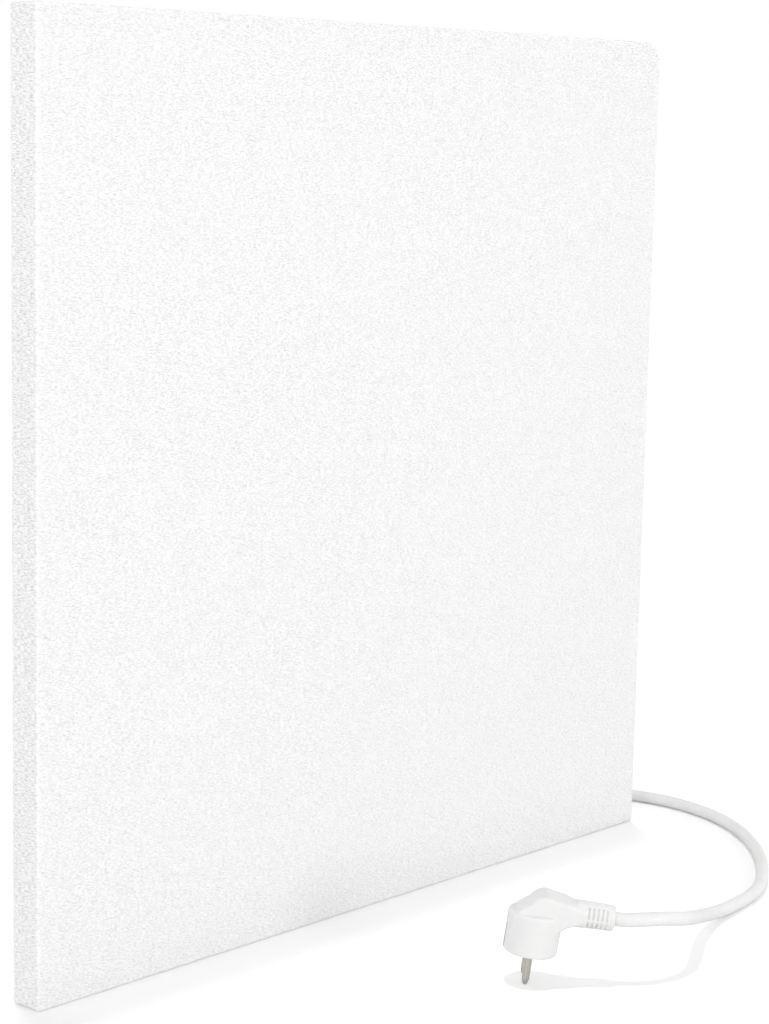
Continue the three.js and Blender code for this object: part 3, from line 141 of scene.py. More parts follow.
from_box = [(250, 12.7, 81.4), (250, 12.7, 68.7), (250, 12.8, 55.5), (247, 13.3, 40.2),
            (238.3, 14.4, 27.2), (225.3, 16, 18.5), (210.3, 17, 15.5)]
to_plug = [(213.3, 133, 6), (227, 132, 5.8), (245, 128.2, 5.3), (267.5, 118, 4.8),
           (287, 103.7, 4.6), (303.6, 87, 4.6), (317, 69.4, 4.6), (329, 50.7, 4.6),
           (339.5, 31.5, 4.6), (347.7, 12, 4.6), (352.3, -8, 4.6), (353, -29, 4.6),
           (349.5, -52, 4.6), (342, -75, 4.6), (331, -96, 4.6), (317, -116, 4.6),
           (301, -134, 4.6), (283, -151, 4.6), (245, -179, 4.6), (206, -199.3, 4.6),
           (164, -207.4, 5), (143, -210.8, 6.9), (115.4, -219.2, 12.8), (102.2, -224.8, 16.4),
           (77.4, -238.3, 24.8), (65, -245.3, 29.2), (52.4, -251.4, 33.2), (41.2, -254, 35.8),
           (29.6, -253.8, 38.4), (18.4, -250.9, 40.2), (8.2, -245.4, 40.8)]


def step(low, high, value):
    """Rises smoothly from 0 at low to 1 at high."""
    t = min(max((value - low) / (high - low), 0), 1)
    return t * t * (3 - 2 * t)


def coil_points():
    """The coil's middle line, from the end that the box feeds to the end that leaves for the plug."""
    half = COIL_TURNS / 2
    points = []
    for i in reversed(range(int(COIL_TURNS * COIL_STEPS) + 1)):
        turns = i / COIL_STEPS
        radius = COIL_OUTER - COIL_PITCH * (half - abs(turns - half))
        angle = math.radians(90) + turns * math.tau
        points.append((COIL_CENTRE[0] + radius * math.cos(angle),
                       COIL_CENTRE[1] + radius * math.sin(angle),
                       COIL_LOW + COIL_LAYER * step(CLIMB_FROM, CLIMB_TO, turns)))
    return [COIL_FEED] + points + [COIL_LEAVE]


tip_rise = PIN_RADIUS * (1 - math.cos(PLUG_TILT))
plug_place = (Matrix.Translation((PLUG_AT[0], PLUG_AT[1], tip_rise))
              @ Matrix.Rotation(PLUG_HEADING, 4, "Z") @ Matrix.Rotation(PLUG_TILT, 4, "Y"))
into_plug = [tuple(plug_place @ Vector((x, 0, LEAD_RISE))) for x in LEAD_INTO_PLUG]
route = from_box + coil_points() + to_plug + into_plug
print("points outside the coil:", len(from_box) + len(to_plug) + len(into_plug))

# %% Lead as one bevelled curve
sheath = bpy.data.curves.new("mains_lead", "CURVE")
sheath.dimensions = "3D"
sheath.bevel_depth = 1
sheath.bevel_resolution = 6
sheath.resolution_u = 6
sheath.use_fill_caps = True
way = sheath.splines.new("BEZIER")
way.bezier_points.add(len(route) - 1)
for knot, point in zip(way.bezier_points, route):
    knot.co = Vector(point) * MM
    knot.radius = LEAD_DIAMETER / 2 * MM
    knot.handle_left_type = knot.handle_right_type = "AUTO"
mains_lead = in_scene("mains_lead", sheath)
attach(mains_lead, "root")
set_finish(mains_lead, "cord_white")
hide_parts("cord_run", "cord_coil", "cord_lead")
print("lead length, m:", round(way.calc_length(), 3))

# %% [markdown]
# ## Making and finishing meshes
# The small steps that the pieces share: a bevel, a piece from a bmesh, a piece with its modifiers
# applied, and a copy of a frame node with its split corners merged, so that its round parts look
# round.

# %% Steps that the pieces share
SPLIT_CORNER = 0.002
SAME_PLANE_DEGREES, BROKEN_EDGE_DEGREES, SOFT_EDGE_DEGREES = 1, 50, 32


def round_off(shape, geom, radius, segments, affect="EDGES", **more):
    """Bevels corners or edges with a round profile."""
    bmesh.ops.bevel(shape, geom=geom, offset=radius, segments=segments, profile=0.5,
                    affect=affect, material=-1, **more)


def grown_verts(grown):
    """The new vertices of an extrusion."""
    return [g for g in grown["geom"] if isinstance(g, bmesh.types.BMVert)]


def as_mesh(name, shape):
    """Writes a bmesh to a new mesh and lets the bmesh go."""
    mesh = bpy.data.meshes.new(name)
    shape.to_mesh(mesh)
    shape.free()
    return mesh


def put_in_scene(name, shape, slot, *stands_for):
    """Turns a bmesh in millimetres into a piece that rides on the one body."""
    bmesh.ops.recalc_face_normals(shape, faces=shape.faces)
    bmesh.ops.scale(shape, vec=(MM, MM, MM), verts=shape.verts)
    piece = in_scene(name, as_mesh(name, shape))
    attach(piece, "root")
    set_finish(piece, slot)
    if stands_for:
        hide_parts(*stands_for)
    return piece


def settle(piece):
    """Applies a piece's modifiers."""
    bpy.context.view_layer.update()
    shown = piece.evaluated_get(bpy.context.evaluated_depsgraph_get())
    mesh = bpy.data.meshes.new_from_object(shown)
    piece.modifiers.clear()
    piece.data = mesh


def smooth(piece, angle=SOFT_EDGE_DEGREES, even=False):
    """Smooth shading that breaks at edges sharper than the angle, in degrees."""
    for face in piece.data.polygons:
        face.use_smooth = True
    piece.data.set_sharp_from_angle(angle=math.radians(angle))
    if even:
        flat = piece.modifiers.new("flat_faces_stay_flat", "WEIGHTED_NORMAL")
        flat.keep_sharp = True
        flat.weight = 100
    print(piece.name, "faces:", len(piece.data.polygons))


def rounded(node, slot, edge=0.0):
    """Puts a copy of a frame node in its place, with merged corners and its edges broken."""
    shape = bmesh.new()
    shape.from_mesh(frame["nodes"][node].data)
    bmesh.ops.scale(shape, vec=(1 / MM, 1 / MM, 1 / MM), verts=shape.verts)
    bmesh.ops.remove_doubles(shape, verts=shape.verts, dist=SPLIT_CORNER)
    bmesh.ops.dissolve_limit(shape, angle_limit=math.radians(SAME_PLANE_DEGREES),
                             verts=shape.verts, edges=shape.edges)
    piece = put_in_scene(node + "_skin", shape, slot, node)
    if edge:
        soft = piece.modifiers.new("broken_edges", "BEVEL")
        soft.width = edge * MM
        soft.segments = 2
        soft.limit_method = "ANGLE"
        soft.angle_limit = math.radians(BROKEN_EDGE_DEGREES)
        settle(piece)
    smooth(piece, even=True)


# %% [markdown]
# ## Front housing
# The real housing is one steel tray: blanked, folded on four sides with a radius of about 2 mm,
# its lips folded inwards behind, and powder-coated. Three corners are almost square and the top
# right one is round. A bevelled and hollowed plate has the same radii and the same thin wall.

# %% Housing tray
PANEL = 600
FACE_Y, BACK_Y = -22, 2
ARRIS, BACK_BEND, SHEET = 2.2, 1.2, 1.0
SQUARE_CORNER, ROUND_CORNER = 2.6, 17
CORNER_LEFT, CORNER_MERGE = 0.05, 0.3
LIP = 12


def corner_of(shape, x, z):
    return [v for v in shape.verts if abs(v.co.x - x) < 0.01 and abs(v.co.z - z) < 0.01]


def rim(shape, y):
    """The edges that lie in the plane at y."""
    return [e for e in shape.edges if all(abs(v.co.y - y) < 0.001 for v in e.verts)]


def back_face(shape):
    """The largest flat face behind."""
    return max((f for f in shape.faces if abs(f.normal.y) > 0.99 and f.calc_center_median().y > 0),
               key=lambda f: f.calc_area())


def housing_tray():
    """The folded plate. Its lips start where its square corners have shrunk to points."""
    half = PANEL / 2
    shape = bmesh.new()
    corners = [shape.verts.new((x, FACE_Y, z)) for x, z in
               ((-half, 0), (half, 0), (half, PANEL), (-half, PANEL))]
    shape.faces.new(corners)
    tight = [v for x, z in ((-half, 0), (half, 0), (-half, PANEL)) for v in corner_of(shape, x, z)]
    round_off(shape, tight, SQUARE_CORNER, 6, "VERTICES")
    round_off(shape, corner_of(shape, half, PANEL), ROUND_CORNER, 16, "VERTICES")
    grown = bmesh.ops.extrude_face_region(shape, geom=shape.faces[:], use_keep_orig=True)
    bmesh.ops.translate(shape, vec=(0, BACK_Y - FACE_Y, 0), verts=grown_verts(grown))
    bmesh.ops.recalc_face_normals(shape, faces=shape.faces)
    round_off(shape, rim(shape, FACE_Y), ARRIS, 8)
    round_off(shape, rim(shape, BACK_Y), BACK_BEND, 4)
    back = back_face(shape)
    bmesh.ops.inset_region(shape, faces=[back], thickness=SQUARE_CORNER - BACK_BEND - CORNER_LEFT,
                           use_even_offset=True)
    bmesh.ops.remove_doubles(shape, verts=back.verts[:], dist=CORNER_MERGE)
    shape.faces.ensure_lookup_table()
    back = back_face(shape)
    bmesh.ops.inset_region(shape, faces=[back], thickness=LIP - SQUARE_CORNER, use_even_offset=True)
    bmesh.ops.delete(shape, geom=[back], context="FACES_ONLY")
    return shape


housing = put_in_scene("housing_tray", housing_tray(), "white_coat", "front_housing")
wall = housing.modifiers.new("sheet", "SOLIDIFY")
wall.thickness = SHEET * MM
wall.offset = -1
wall.use_even_offset = True
settle(housing)
smooth(housing, 50, even=True)

# %% [markdown]
# ## Plug
# A right-angled mains plug in one white moulding: a round body over two pins, and a flat arm that
# runs out sideways and narrows into the sleeve which guards the lead. Such a plug is moulded round
# its contacts, so all its forms run into each other. Its sizes are in the plug's own frame, where
# the pins' tips stand at 0, the pins point down and the arm points to +X.

# %% Plug sizes
PUCK_RADIUS, PUCK_LOW, PUCK_HIGH, PUCK_EDGE = 18, 19, 46, 2
ARM_WIDTH, ARM_ROUND = 25, 4
SLEEVE_AT, SLEEVE_END, SLEEVE_RISE = 26, 50.2, 48.4
SLEEVE_RADIUS, SLEEVE_TIP, SLEEVE_EDGE = 8.8, 8.2, 1.4
SLOT_AT = (33.2, 36.1, 39.0, 41.9, 44.8)
SLOT_WIDTH, SLOT_DEPTH = 1.1, 0.65
UPPER_SLOT, LOWER_SLOT = (-3, 47), (-54, -16)
RECESS_WIDTH, RECESS_DEPTH, RECESS_TOP, RECESS_BEND = 9, 2.6, 37, 0.8
PIN_PITCH, PIN_ROOT = 19, 8


def arc(centre, radius, start, end, steps):
    """Points of an arc between two angles in degrees."""
    return [(centre[0] + radius * math.cos(math.radians(start + (end - start) * i / steps)),
             centre[1] + radius * math.sin(math.radians(start + (end - start) * i / steps)))
            for i in range(steps + 1)]


def bow(start, control, end, steps=8):
    """Points of a quadratic curve, without its first."""
    a, b, c = Vector(start), Vector(control), Vector(end)
    return [tuple(a * (1 - t) ** 2 + b * 2 * t * (1 - t) + c * t * t)
            for t in (i / steps for i in range(1, steps + 1))]


def turned(shape, profile, axis="Z", rise=0, steps=48):
    """Spins a profile of (distance along the axis, radius) into a closed solid."""
    if axis == "Z":
        points = [(r, 0, along) for along, r in profile]
    else:
        points = [(along, 0, rise + r) for along, r in profile]
    verts = [shape.verts.new(p) for p in points]
    edges = [shape.edges.new(pair) for pair in zip(verts, verts[1:])]
    about = (0, 0, 1) if axis == "Z" else (1, 0, 0)
    bmesh.ops.spin(shape, geom=verts + edges, cent=(0, 0, 0 if axis == "Z" else rise), axis=about,
                   angle=math.tau, steps=steps, use_merge=True)
    bmesh.ops.remove_doubles(shape, verts=shape.verts, dist=0.001)


print("body", 2 * PUCK_RADIUS, "mm across, sleeve", 2 * SLEEVE_RADIUS, "mm")

# %% [markdown]
# ### The plug's forms
# The body and the sleeve are turned, and the arm is an outline seen from the side, drawn out to its
# width, with its long edges rounded.

# %% Body, sleeve and arm
def puck_and_sleeve():
    shape = bmesh.new()
    edge_at = PUCK_RADIUS - PUCK_EDGE
    low = arc((PUCK_LOW + PUCK_EDGE, edge_at), PUCK_EDGE, 180, 90, 6)
    high = arc((PUCK_HIGH - PUCK_EDGE, edge_at), PUCK_EDGE, 90, 0, 6)
    turned(shape, [(PUCK_LOW, 0)] + low + high + [(PUCK_HIGH, 0)])
    tip = arc((SLEEVE_END - SLEEVE_EDGE, SLEEVE_TIP - SLEEVE_EDGE), SLEEVE_EDGE, 90, 0, 4)
    turned(shape, [(SLEEVE_AT, 0), (SLEEVE_AT, SLEEVE_RADIUS)] + tip + [(SLEEVE_END, 0)],
           axis="X", rise=SLEEVE_RISE)
    return shape


def arm_outline():
    """From the far side, under the arm, up inside the sleeve, back over the top and down."""
    below = [(-15, 34), (14, 34)] + bow((14, 34), (16.5, 39.8), (22, 39.8)) + [(31, 39.6)]
    top = [(31, 55.9)] + bow((31, 55.9), (18, 55.6), (8, 58.3))
    shoulder = bow((8, 58.3), (1.5, 60.2), (-4.5, 52.4))
    return below + top + shoulder + bow((-4.5, 52.4), (-14.5, 46), (-15, 42))


def arm_plate(shape):
    verts = [shape.verts.new((x, -ARM_WIDTH / 2, z)) for x, z in arm_outline()]
    bmesh.ops.remove_doubles(shape, verts=verts, dist=0.05)
    face = shape.faces.new([v for v in verts if v.is_valid])
    far = grown_verts(bmesh.ops.extrude_face_region(shape, geom=[face], use_keep_orig=True))
    bmesh.ops.translate(shape, vec=(0, ARM_WIDTH, 0), verts=far)
    edges = {e for v in far for e in v.link_edges} | set(face.edges)
    sides = [e for e in edges if abs(e.verts[0].co.y - e.verts[1].co.y) < 0.01]
    bmesh.ops.recalc_face_normals(shape, faces=shape.faces)
    round_off(shape, sides, ARM_ROUND, 5, clamp_overlap=True)
    return shape


moulding = put_in_scene("plug_moulding", arm_plate(puck_and_sleeve()), "plug_white", "plug_body")
print("plug forms:", len(moulding.data.polygons), "faces")

# %% [markdown]
# ### One skin
# A remesh joins the three forms into one skin, and smoothing lets them flow together. Then the arm's
# flat section is led into the sleeve's circle, so that no corner of it stands out beside the
# sleeve, and the body is made a little wider towards the arm and narrower on its far side.

# %% Plug moulding as one skin
SKIN_GRAIN = 0.55
DRAW_FROM, DRAW_TO, DRAWN = 17, 30, 0.95
FLARE, FLARE_TOP, FAR_SIDE = 0.02, 40, 0.95
BODY_END = PUCK_RADIUS + 0.5

skin = moulding.modifiers.new("one_skin", "REMESH")
skin.mode = "VOXEL"
skin.voxel_size = SKIN_GRAIN * MM
flow = moulding.modifiers.new("flowing_forms", "SMOOTH")
flow.factor = 0.5
flow.iterations = 10
settle(moulding)


def draw_in(mesh):
    """Leads the arm's section into the sleeve's circle, and flares the body towards the arm."""
    for vert in mesh.vertices:
        x, y, z = vert.co / MM
        spare = math.hypot(y, z - SLEEVE_RISE) - SLEEVE_RADIUS
        if spare > 0 and x > DRAW_FROM:
            kept = 1 - DRAWN * step(DRAW_FROM, DRAW_TO, x)
            share = (SLEEVE_RADIUS + spare * kept) / (SLEEVE_RADIUS + spare)
            vert.co.y *= share
            vert.co.z = (SLEEVE_RISE + (z - SLEEVE_RISE) * share) * MM
        if x < BODY_END:
            vert.co.x *= 1 + FLARE * step(PUCK_LOW, FLARE_TOP, z) if x > 0 else FAR_SIDE


draw_in(moulding.data)
print("plug skin:", len(moulding.data.polygons))


# %% [markdown]
# ### Cuts
# The sharp details are cut last, so that the smoothing leaves them crisp: the sleeve's short slots,
# which let it bend, the two side recesses for the earth contacts, and the seats of the pins.

# %% Slots, recesses and pin seats cut into the plug
SLOT_SPARE, SLOT_FLOOR = 2, 0.2
RECESS_SPARE = 6
SEAT_GAP, SEAT_BELOW, SEAT_DEEPER = 0.08, 4, 0.1


def slot_cutter(shape, along, start, end, side):
    """A piece of a ring round the sleeve's axis, between two angles up from level."""
    inner, outer = SLEEVE_TIP - SLOT_DEPTH + SLOT_FLOOR, SLEEVE_RADIUS + SLOT_SPARE
    near, far = along - SLOT_WIDTH / 2, along + SLOT_WIDTH / 2
    turn = Matrix.Rotation(math.radians(side * start), 3, "X")
    section = [turn @ Vector((0, side * r, 0)) for r in (inner, outer, outer, inner)]
    verts = [shape.verts.new((x, p.y, p.z + SLEEVE_RISE))
             for x, p in zip((near, near, far, far), section)]
    face = shape.faces.new(verts)
    bmesh.ops.spin(shape, geom=[face] + verts + face.edges[:], cent=(0, 0, SLEEVE_RISE),
                   axis=(1, 0, 0), angle=math.radians(side * (end - start)), steps=6)


def recess_cutter(shape, side):
    """A block that reaches out past the body and below it, with its inner edges rounded."""
    made = bmesh.ops.create_cube(shape, size=1)["verts"]
    bmesh.ops.scale(shape, vec=(RECESS_SPARE, RECESS_WIDTH, RECESS_TOP - PUCK_LOW + RECESS_SPARE),
                    verts=made)
    bmesh.ops.translate(shape, vec=(side * (PUCK_RADIUS - RECESS_DEPTH + RECESS_SPARE / 2), 0,
                                    (RECESS_TOP + PUCK_LOW - RECESS_SPARE) / 2), verts=made)
    inner = [e for e in {e for v in made for e in v.link_edges}
             if abs(e.verts[0].co.x - e.verts[1].co.x) < 0.01 and
             all(abs(v.co.x) < PUCK_RADIUS for v in e.verts)]
    round_off(shape, inner, RECESS_BEND, 3)


def seat_cutter(shape, side):
    middle = PUCK_LOW + (PIN_ROOT - SEAT_BELOW) / 2 + SEAT_DEEPER
    bmesh.ops.create_cone(shape, cap_ends=True, segments=40, radius1=PIN_RADIUS + SEAT_GAP,
                          radius2=PIN_RADIUS + SEAT_GAP, depth=PIN_ROOT + SEAT_BELOW,
                          matrix=Matrix.Translation((0, side * PIN_PITCH / 2, middle)))


def cutters():
    shape = bmesh.new()
    for along in SLOT_AT:
        for side in (-1, 1):
            for start, end in (UPPER_SLOT, LOWER_SLOT):
                slot_cutter(shape, along, start, end, side)
    for side in (-1, 1):
        recess_cutter(shape, side)
    for side in (-1, 1):
        seat_cutter(shape, side)
    bmesh.ops.recalc_face_normals(shape, faces=shape.faces)
    return in_scene("plug_cuts", as_mesh("plug_cuts", shape))


tool = cutters()
moulding.data.transform(Matrix.Scale(1 / MM, 4))
cut = moulding.modifiers.new("cuts", "BOOLEAN")
cut.operation = "DIFFERENCE"
cut.solver = "MANIFOLD"
cut.object = tool
settle(moulding)
bpy.data.objects.remove(tool)
moulding.data.transform(Matrix.Scale(MM, 4) @ plug_place)
smooth(moulding, 38)

# %% [markdown]
# ## Pins and side contacts
# Two solid round pins of nickel-plated brass, 4.8 mm thick and 19 mm long, with blunt tips, seated
# in the body. A plated strip lies in each side recess.

# %% Pins and side contacts
PIN_TIP = [(0, 0), (0.05, 0.6), (0.3, 1.1), (0.75, 1.5), (1.4, 1.82), (2.4, 2.12), (3.8, 2.33),
           (5.6, PIN_RADIUS)]

for number, side in enumerate((-1, 1), 1):
    shape = bmesh.new()
    turned(shape, PIN_TIP + [(PUCK_LOW + PIN_ROOT, PIN_RADIUS), (PUCK_LOW + PIN_ROOT, 0)])
    bmesh.ops.transform(shape, matrix=plug_place @ Matrix.Translation((0, side * PIN_PITCH / 2, 0)),
                        verts=shape.verts)
    smooth(put_in_scene(f"contact_pin_{number}", shape, "pin_nickel", f"plug_pin_{number}"), 40)
for number in (1, 2):
    rounded(f"plug_earth_contact_{number}", "pin_nickel", edge=0.25)

# %% [markdown]
# ## Strap, sleeve and fittings behind
# A woven strap ties the coil. The ribbed sleeve guards the lead where it enters the box. The box,
# its lid, two keyhole hangers with their rivets, two rubber spacers and the screws carry the
# frame's shapes with merged corners, and the pressed and moulded ones have slightly broken edges.

# %% Coil strap
STRAP_LOW, STRAP_HIGH = (132.8, 0.0), (155.7, 21.5)
STRAP_Y = (68, 82)
STRAP_THICK, STRAP_CORNER, STRAP_HEM = 1.2, 5, 0.35


def strap_band():
    """The band's middle surface: a rounded rectangle without its face, drawn out to its width."""
    shape = bmesh.new()
    corners = [shape.verts.new((x, STRAP_Y[0], z)) for x, z in
               ((STRAP_LOW[0], STRAP_LOW[1]), (STRAP_HIGH[0], STRAP_LOW[1]),
                (STRAP_HIGH[0], STRAP_HIGH[1]), (STRAP_LOW[0], STRAP_HIGH[1]))]
    shape.faces.new(corners)
    round_off(shape, corners, STRAP_CORNER, 8, "VERTICES")
    bmesh.ops.delete(shape, geom=shape.faces[:], context="FACES_ONLY")
    far = grown_verts(bmesh.ops.extrude_edge_only(shape, edges=shape.edges[:]))
    bmesh.ops.translate(shape, vec=(0, STRAP_Y[1] - STRAP_Y[0], 0), verts=far)
    return shape


strap = put_in_scene("coil_strap", strap_band(), "tie_strap", "coil_tie")
thick = strap.modifiers.new("thickness", "SOLIDIFY")
thick.thickness = STRAP_THICK * MM
thick.offset = -1
hem = strap.modifiers.new("hem", "BEVEL")
hem.width = STRAP_HEM * MM
hem.segments = 2
hem.limit_method = "ANGLE"
settle(strap)
smooth(strap, 40, even=True)

# %% Fittings with merged corners
for node, slot, edge in (("cord_relief", "white_plastic", 0.3), ("box_base", "white_plastic", 0.4),
                         ("box_lid", "white_plastic", 0.4), ("hanger_left", "zinc_steel", 0.25),
                         ("hanger_right", "zinc_steel", 0.25), ("spacer_left", "white_rubber", 0.3),
                         ("spacer_right", "white_rubber", 0.3)):
    rounded(node, slot, edge)
for family, count in (("cover_screw", 8), ("lid_screw", 2), ("hanger_rivet", 4)):
    for number in range(1, count + 1):
        rounded(f"{family}_{number}", "zinc_steel")


# %% [markdown]
# ## Finishes
# Each finish is worked out from the object's own coordinates. The first small class lets the shader
# sums be written as sums, and the second holds a material and the steps that the finishes share,
# so that a finish below reads as a short recipe.

# %% Shader sums
class Field:
    """A socket in a material's tree. Sums with it make Math nodes, and add() makes any other node."""

    def __init__(self, tree, socket=None):
        self.tree, self.socket = tree, socket

    def add(self, kind, *inputs, out=0, **settings):
        node = self.tree.nodes.new(kind)
        for key, value in settings.items():
            setattr(node, key, value)
        for key, value in inputs:
            if isinstance(value, Field):
                self.tree.links.new(value.socket, node.inputs[key])
            else:
                node.inputs[key].default_value = value
        return Field(self.tree, node.outputs[out])

    def end(self, kind):
        """Makes this field the surface of the tree's output node."""
        last = self.tree.nodes.new(kind)
        self.tree.links.new(self.socket, last.inputs["Surface"])

    def sum(self, kind, first, second):
        return self.add("ShaderNodeMath", (0, first), (1, second), operation=kind)

    def size(self):
        """The field without its sign."""
        return self.add("ShaderNodeMath", (0, self), operation="ABSOLUTE")

    def along(self, direction):
        """How far a vector field reaches in a direction."""
        return self.add("ShaderNodeVectorMath", (0, self), (1, direction), out="Value",
                        operation="DOT_PRODUCT")

    def __add__(self, other):
        return self.sum("ADD", self, other)

    def __radd__(self, other):
        return self.sum("ADD", other, self)

    def __sub__(self, other):
        return self.sum("SUBTRACT", self, other)

    def __rsub__(self, other):
        return self.sum("SUBTRACT", other, self)

    def __mul__(self, other):
        return self.sum("MULTIPLY", self, other)

    def __rmul__(self, other):
        return self.sum("MULTIPLY", other, self)


# %% A finish's steps
class Finish:
    """A Principled material with the object's own coordinates at hand."""

    def __init__(self, name, roughness, metallic=0.0, **constants):
        self.material = bpy.data.materials.new(name)
        self.material.use_nodes = True
        self.tree = self.material.node_tree
        self.shader = self.tree.nodes["Principled BSDF"]
        self.shader.inputs["Roughness"].default_value = roughness
        self.shader.inputs["Metallic"].default_value = metallic
        for key, value in constants.items():
            self.shader.inputs[key.replace("_", " ")].default_value = value
        self.base = Field(self.tree)
        self.place = self.base.add("ShaderNodeTexCoord", out="Object")

    def stretched(self, x, y, z):
        """The place in units of 1/x, 1/y and 1/z metres."""
        return self.base.add("ShaderNodeVectorMath", (0, self.place), (1, (x, y, z)),
                             operation="MULTIPLY")

    def noise(self, x, y, z, detail=2.0, roughness=0.5):
        """A noise with about x, y and z lumps a metre."""
        return self.base.add("ShaderNodeTexNoise", ("Vector", self.stretched(x, y, z)),
                             ("Scale", 1.0), ("Detail", detail), ("Roughness", roughness))

    def bands(self, direction, scale, distortion):
        """Soft bands across a direction, by the Wave texture's second output, its factor."""
        return self.base.add("ShaderNodeTexWave", ("Vector", self.stretched(1, 1, 1)),
                             ("Scale", scale), ("Distortion", distortion),
                             bands_direction=direction, out=1)

    def clamp(self, field, low, high):
        """0 where the field is at low, 1 where it is at high, and never beyond."""
        return self.base.add("ShaderNodeMapRange", ("Value", field), ("From Min", low),
                             ("From Max", high), clamp=True)

    def tint(self, share, first, second):
        """The base colour, from the first where share is 0 to the second where it is 1."""
        colour = self.base.add("ShaderNodeMix", (0, share), (6, (*first, 1)), (7, (*second, 1)),
                               out=2, data_type="RGBA")
        self.tree.links.new(colour.socket, self.shader.inputs["Base Color"])

    def gloss(self, field):
        self.tree.links.new(field.socket, self.shader.inputs["Roughness"])

    def relief(self, height, distance):
        bump = self.base.add("ShaderNodeBump", ("Height", height), ("Distance", distance),
                             ("Strength", 1.0))
        self.tree.links.new(bump.socket, self.shader.inputs["Normal"])


def grey(value):
    return value, value, value


finishes = {}

# %% [markdown]
# ### White powder coat
# Sprayed polyester powder, baked. Up close it is an even white skin of small soft lumps, drawn out
# sideways, with fine shadow between them. Its gloss is low. That shadow is painted shade: the pits
# between the lumps are tinted darker, and the lumps' lower slopes a little, so that the ridges stay
# white as a painted highlight, because the bump alone shows too little of them in such soft light.
# The folded sides get more of this painted shade, which paints them darker than the face as if
# turned from the light, and the round arris gets less, which paints a bright highlight line on it.

# %% White powder coat
LUMP_SHARE, FINE_SHARE = 0.86, 0.14
PIT_FROM, PIT_FULL = 0.54, 0.30
SLOPE_FROM, SLOPE_FULL = 0.66, 0.50
# The next two weights paint shade into the pits and lower slopes; the last two paint the folded sides
# darker and a highlight line on the arris.
PIT_PAINTED_SHADE, SLOPE_PAINTED_SHADE = 0.5, 0.09
SIDE_MORE_PAINTED_SHADE, ARRIS_PAINTED_HIGHLIGHT = 0.7, 1.4


def powder_coat():
    coat = Finish("white_powder_coat", 0.45)
    lumps = coat.noise(380, 320, 1500, detail=1.0)
    fine = coat.noise(1300, 1300, 3200, detail=1.0)
    height = lumps * LUMP_SHARE + fine * FINE_SHARE
    facing = coat.base.add("ShaderNodeTexCoord", out="Normal")
    across, ahead = facing.along((1, 0, 0)), facing.along((0, 1, 0))
    # Where the normal points sideways the painted shade grows; on the arris it shrinks, painting a
    # highlight line there.
    side, arris_highlight_mask = across.size(), (across * ahead).size()
    # Painted shade: pits and lower slopes tinted darker, more on the sides and less on the arris, where
    # a painted highlight line stays.
    painted_pit_shade = coat.clamp(height, PIT_FROM, PIT_FULL) * (side * SIDE_MORE_PAINTED_SHADE + 1.0) * (1 - arris_highlight_mask * ARRIS_PAINTED_HIGHLIGHT)
    painted_slope_shade = coat.clamp(height, SLOPE_FROM, SLOPE_FULL)
    coat.tint(painted_pit_shade * PIT_PAINTED_SHADE + painted_slope_shade * SLOPE_PAINTED_SHADE, grey(0.985), grey(0.64))
    coat.gloss(coat.noise(40, 40, 40) * 0.1 + 0.4)
    coat.relief(height, 0.0012)
    return coat.material


finishes["white_coat"] = powder_coat()
print("coat nodes:", len(finishes["white_coat"].node_tree.nodes))

# %% [markdown]
# ### Plastics, rubber and strap
# The lead's sheath is satin PVC, a little uneven in tone and gloss. The plug is a denser satin
# moulding with a faint spark-eroded grain. The box and sleeve have a coarser one. The strap is a
# plain weave.

# %% Lead, plug, box, rubber and strap
def satin_sheath():
    sheath = Finish("satin_sheath", 0.42, Coat_Weight=0.05)
    cloud = sheath.noise(60, 60, 60, detail=3)
    skin = sheath.noise(900, 900, 900)
    sheath.tint(sheath.clamp(cloud, 0.3, 0.7), (0.77, 0.77, 0.765), (0.82, 0.82, 0.815))
    sheath.gloss(skin * 0.12 + 0.36)
    sheath.relief(skin, 0.00008)
    return sheath.material


def moulded(name, dark, light, roughness, grain, depth):
    """A moulded plastic or rubber: slow drift of tone and a fine grain in the surface."""
    plastic = Finish(name, roughness)
    drift = plastic.noise(70, 70, 70, detail=3)
    skin = plastic.noise(grain, grain, grain, detail=3)
    plastic.tint(plastic.clamp(drift * 0.7 + skin * 0.3, 0.3, 0.7), dark, light)
    plastic.gloss(skin * 0.16 + (roughness - 0.08))
    plastic.relief(skin, depth)
    return plastic.material


def woven_strap():
    strap = Finish("woven_strap", 0.8, Sheen_Weight=0.2)
    weave = strap.bands("Y", 260, 0.6) * 0.5 + strap.bands("Z", 200, 0.6) * 0.5
    strap.tint(weave, (0.62, 0.62, 0.61), (0.88, 0.88, 0.87))
    strap.relief(weave, 0.0004)
    return strap.material


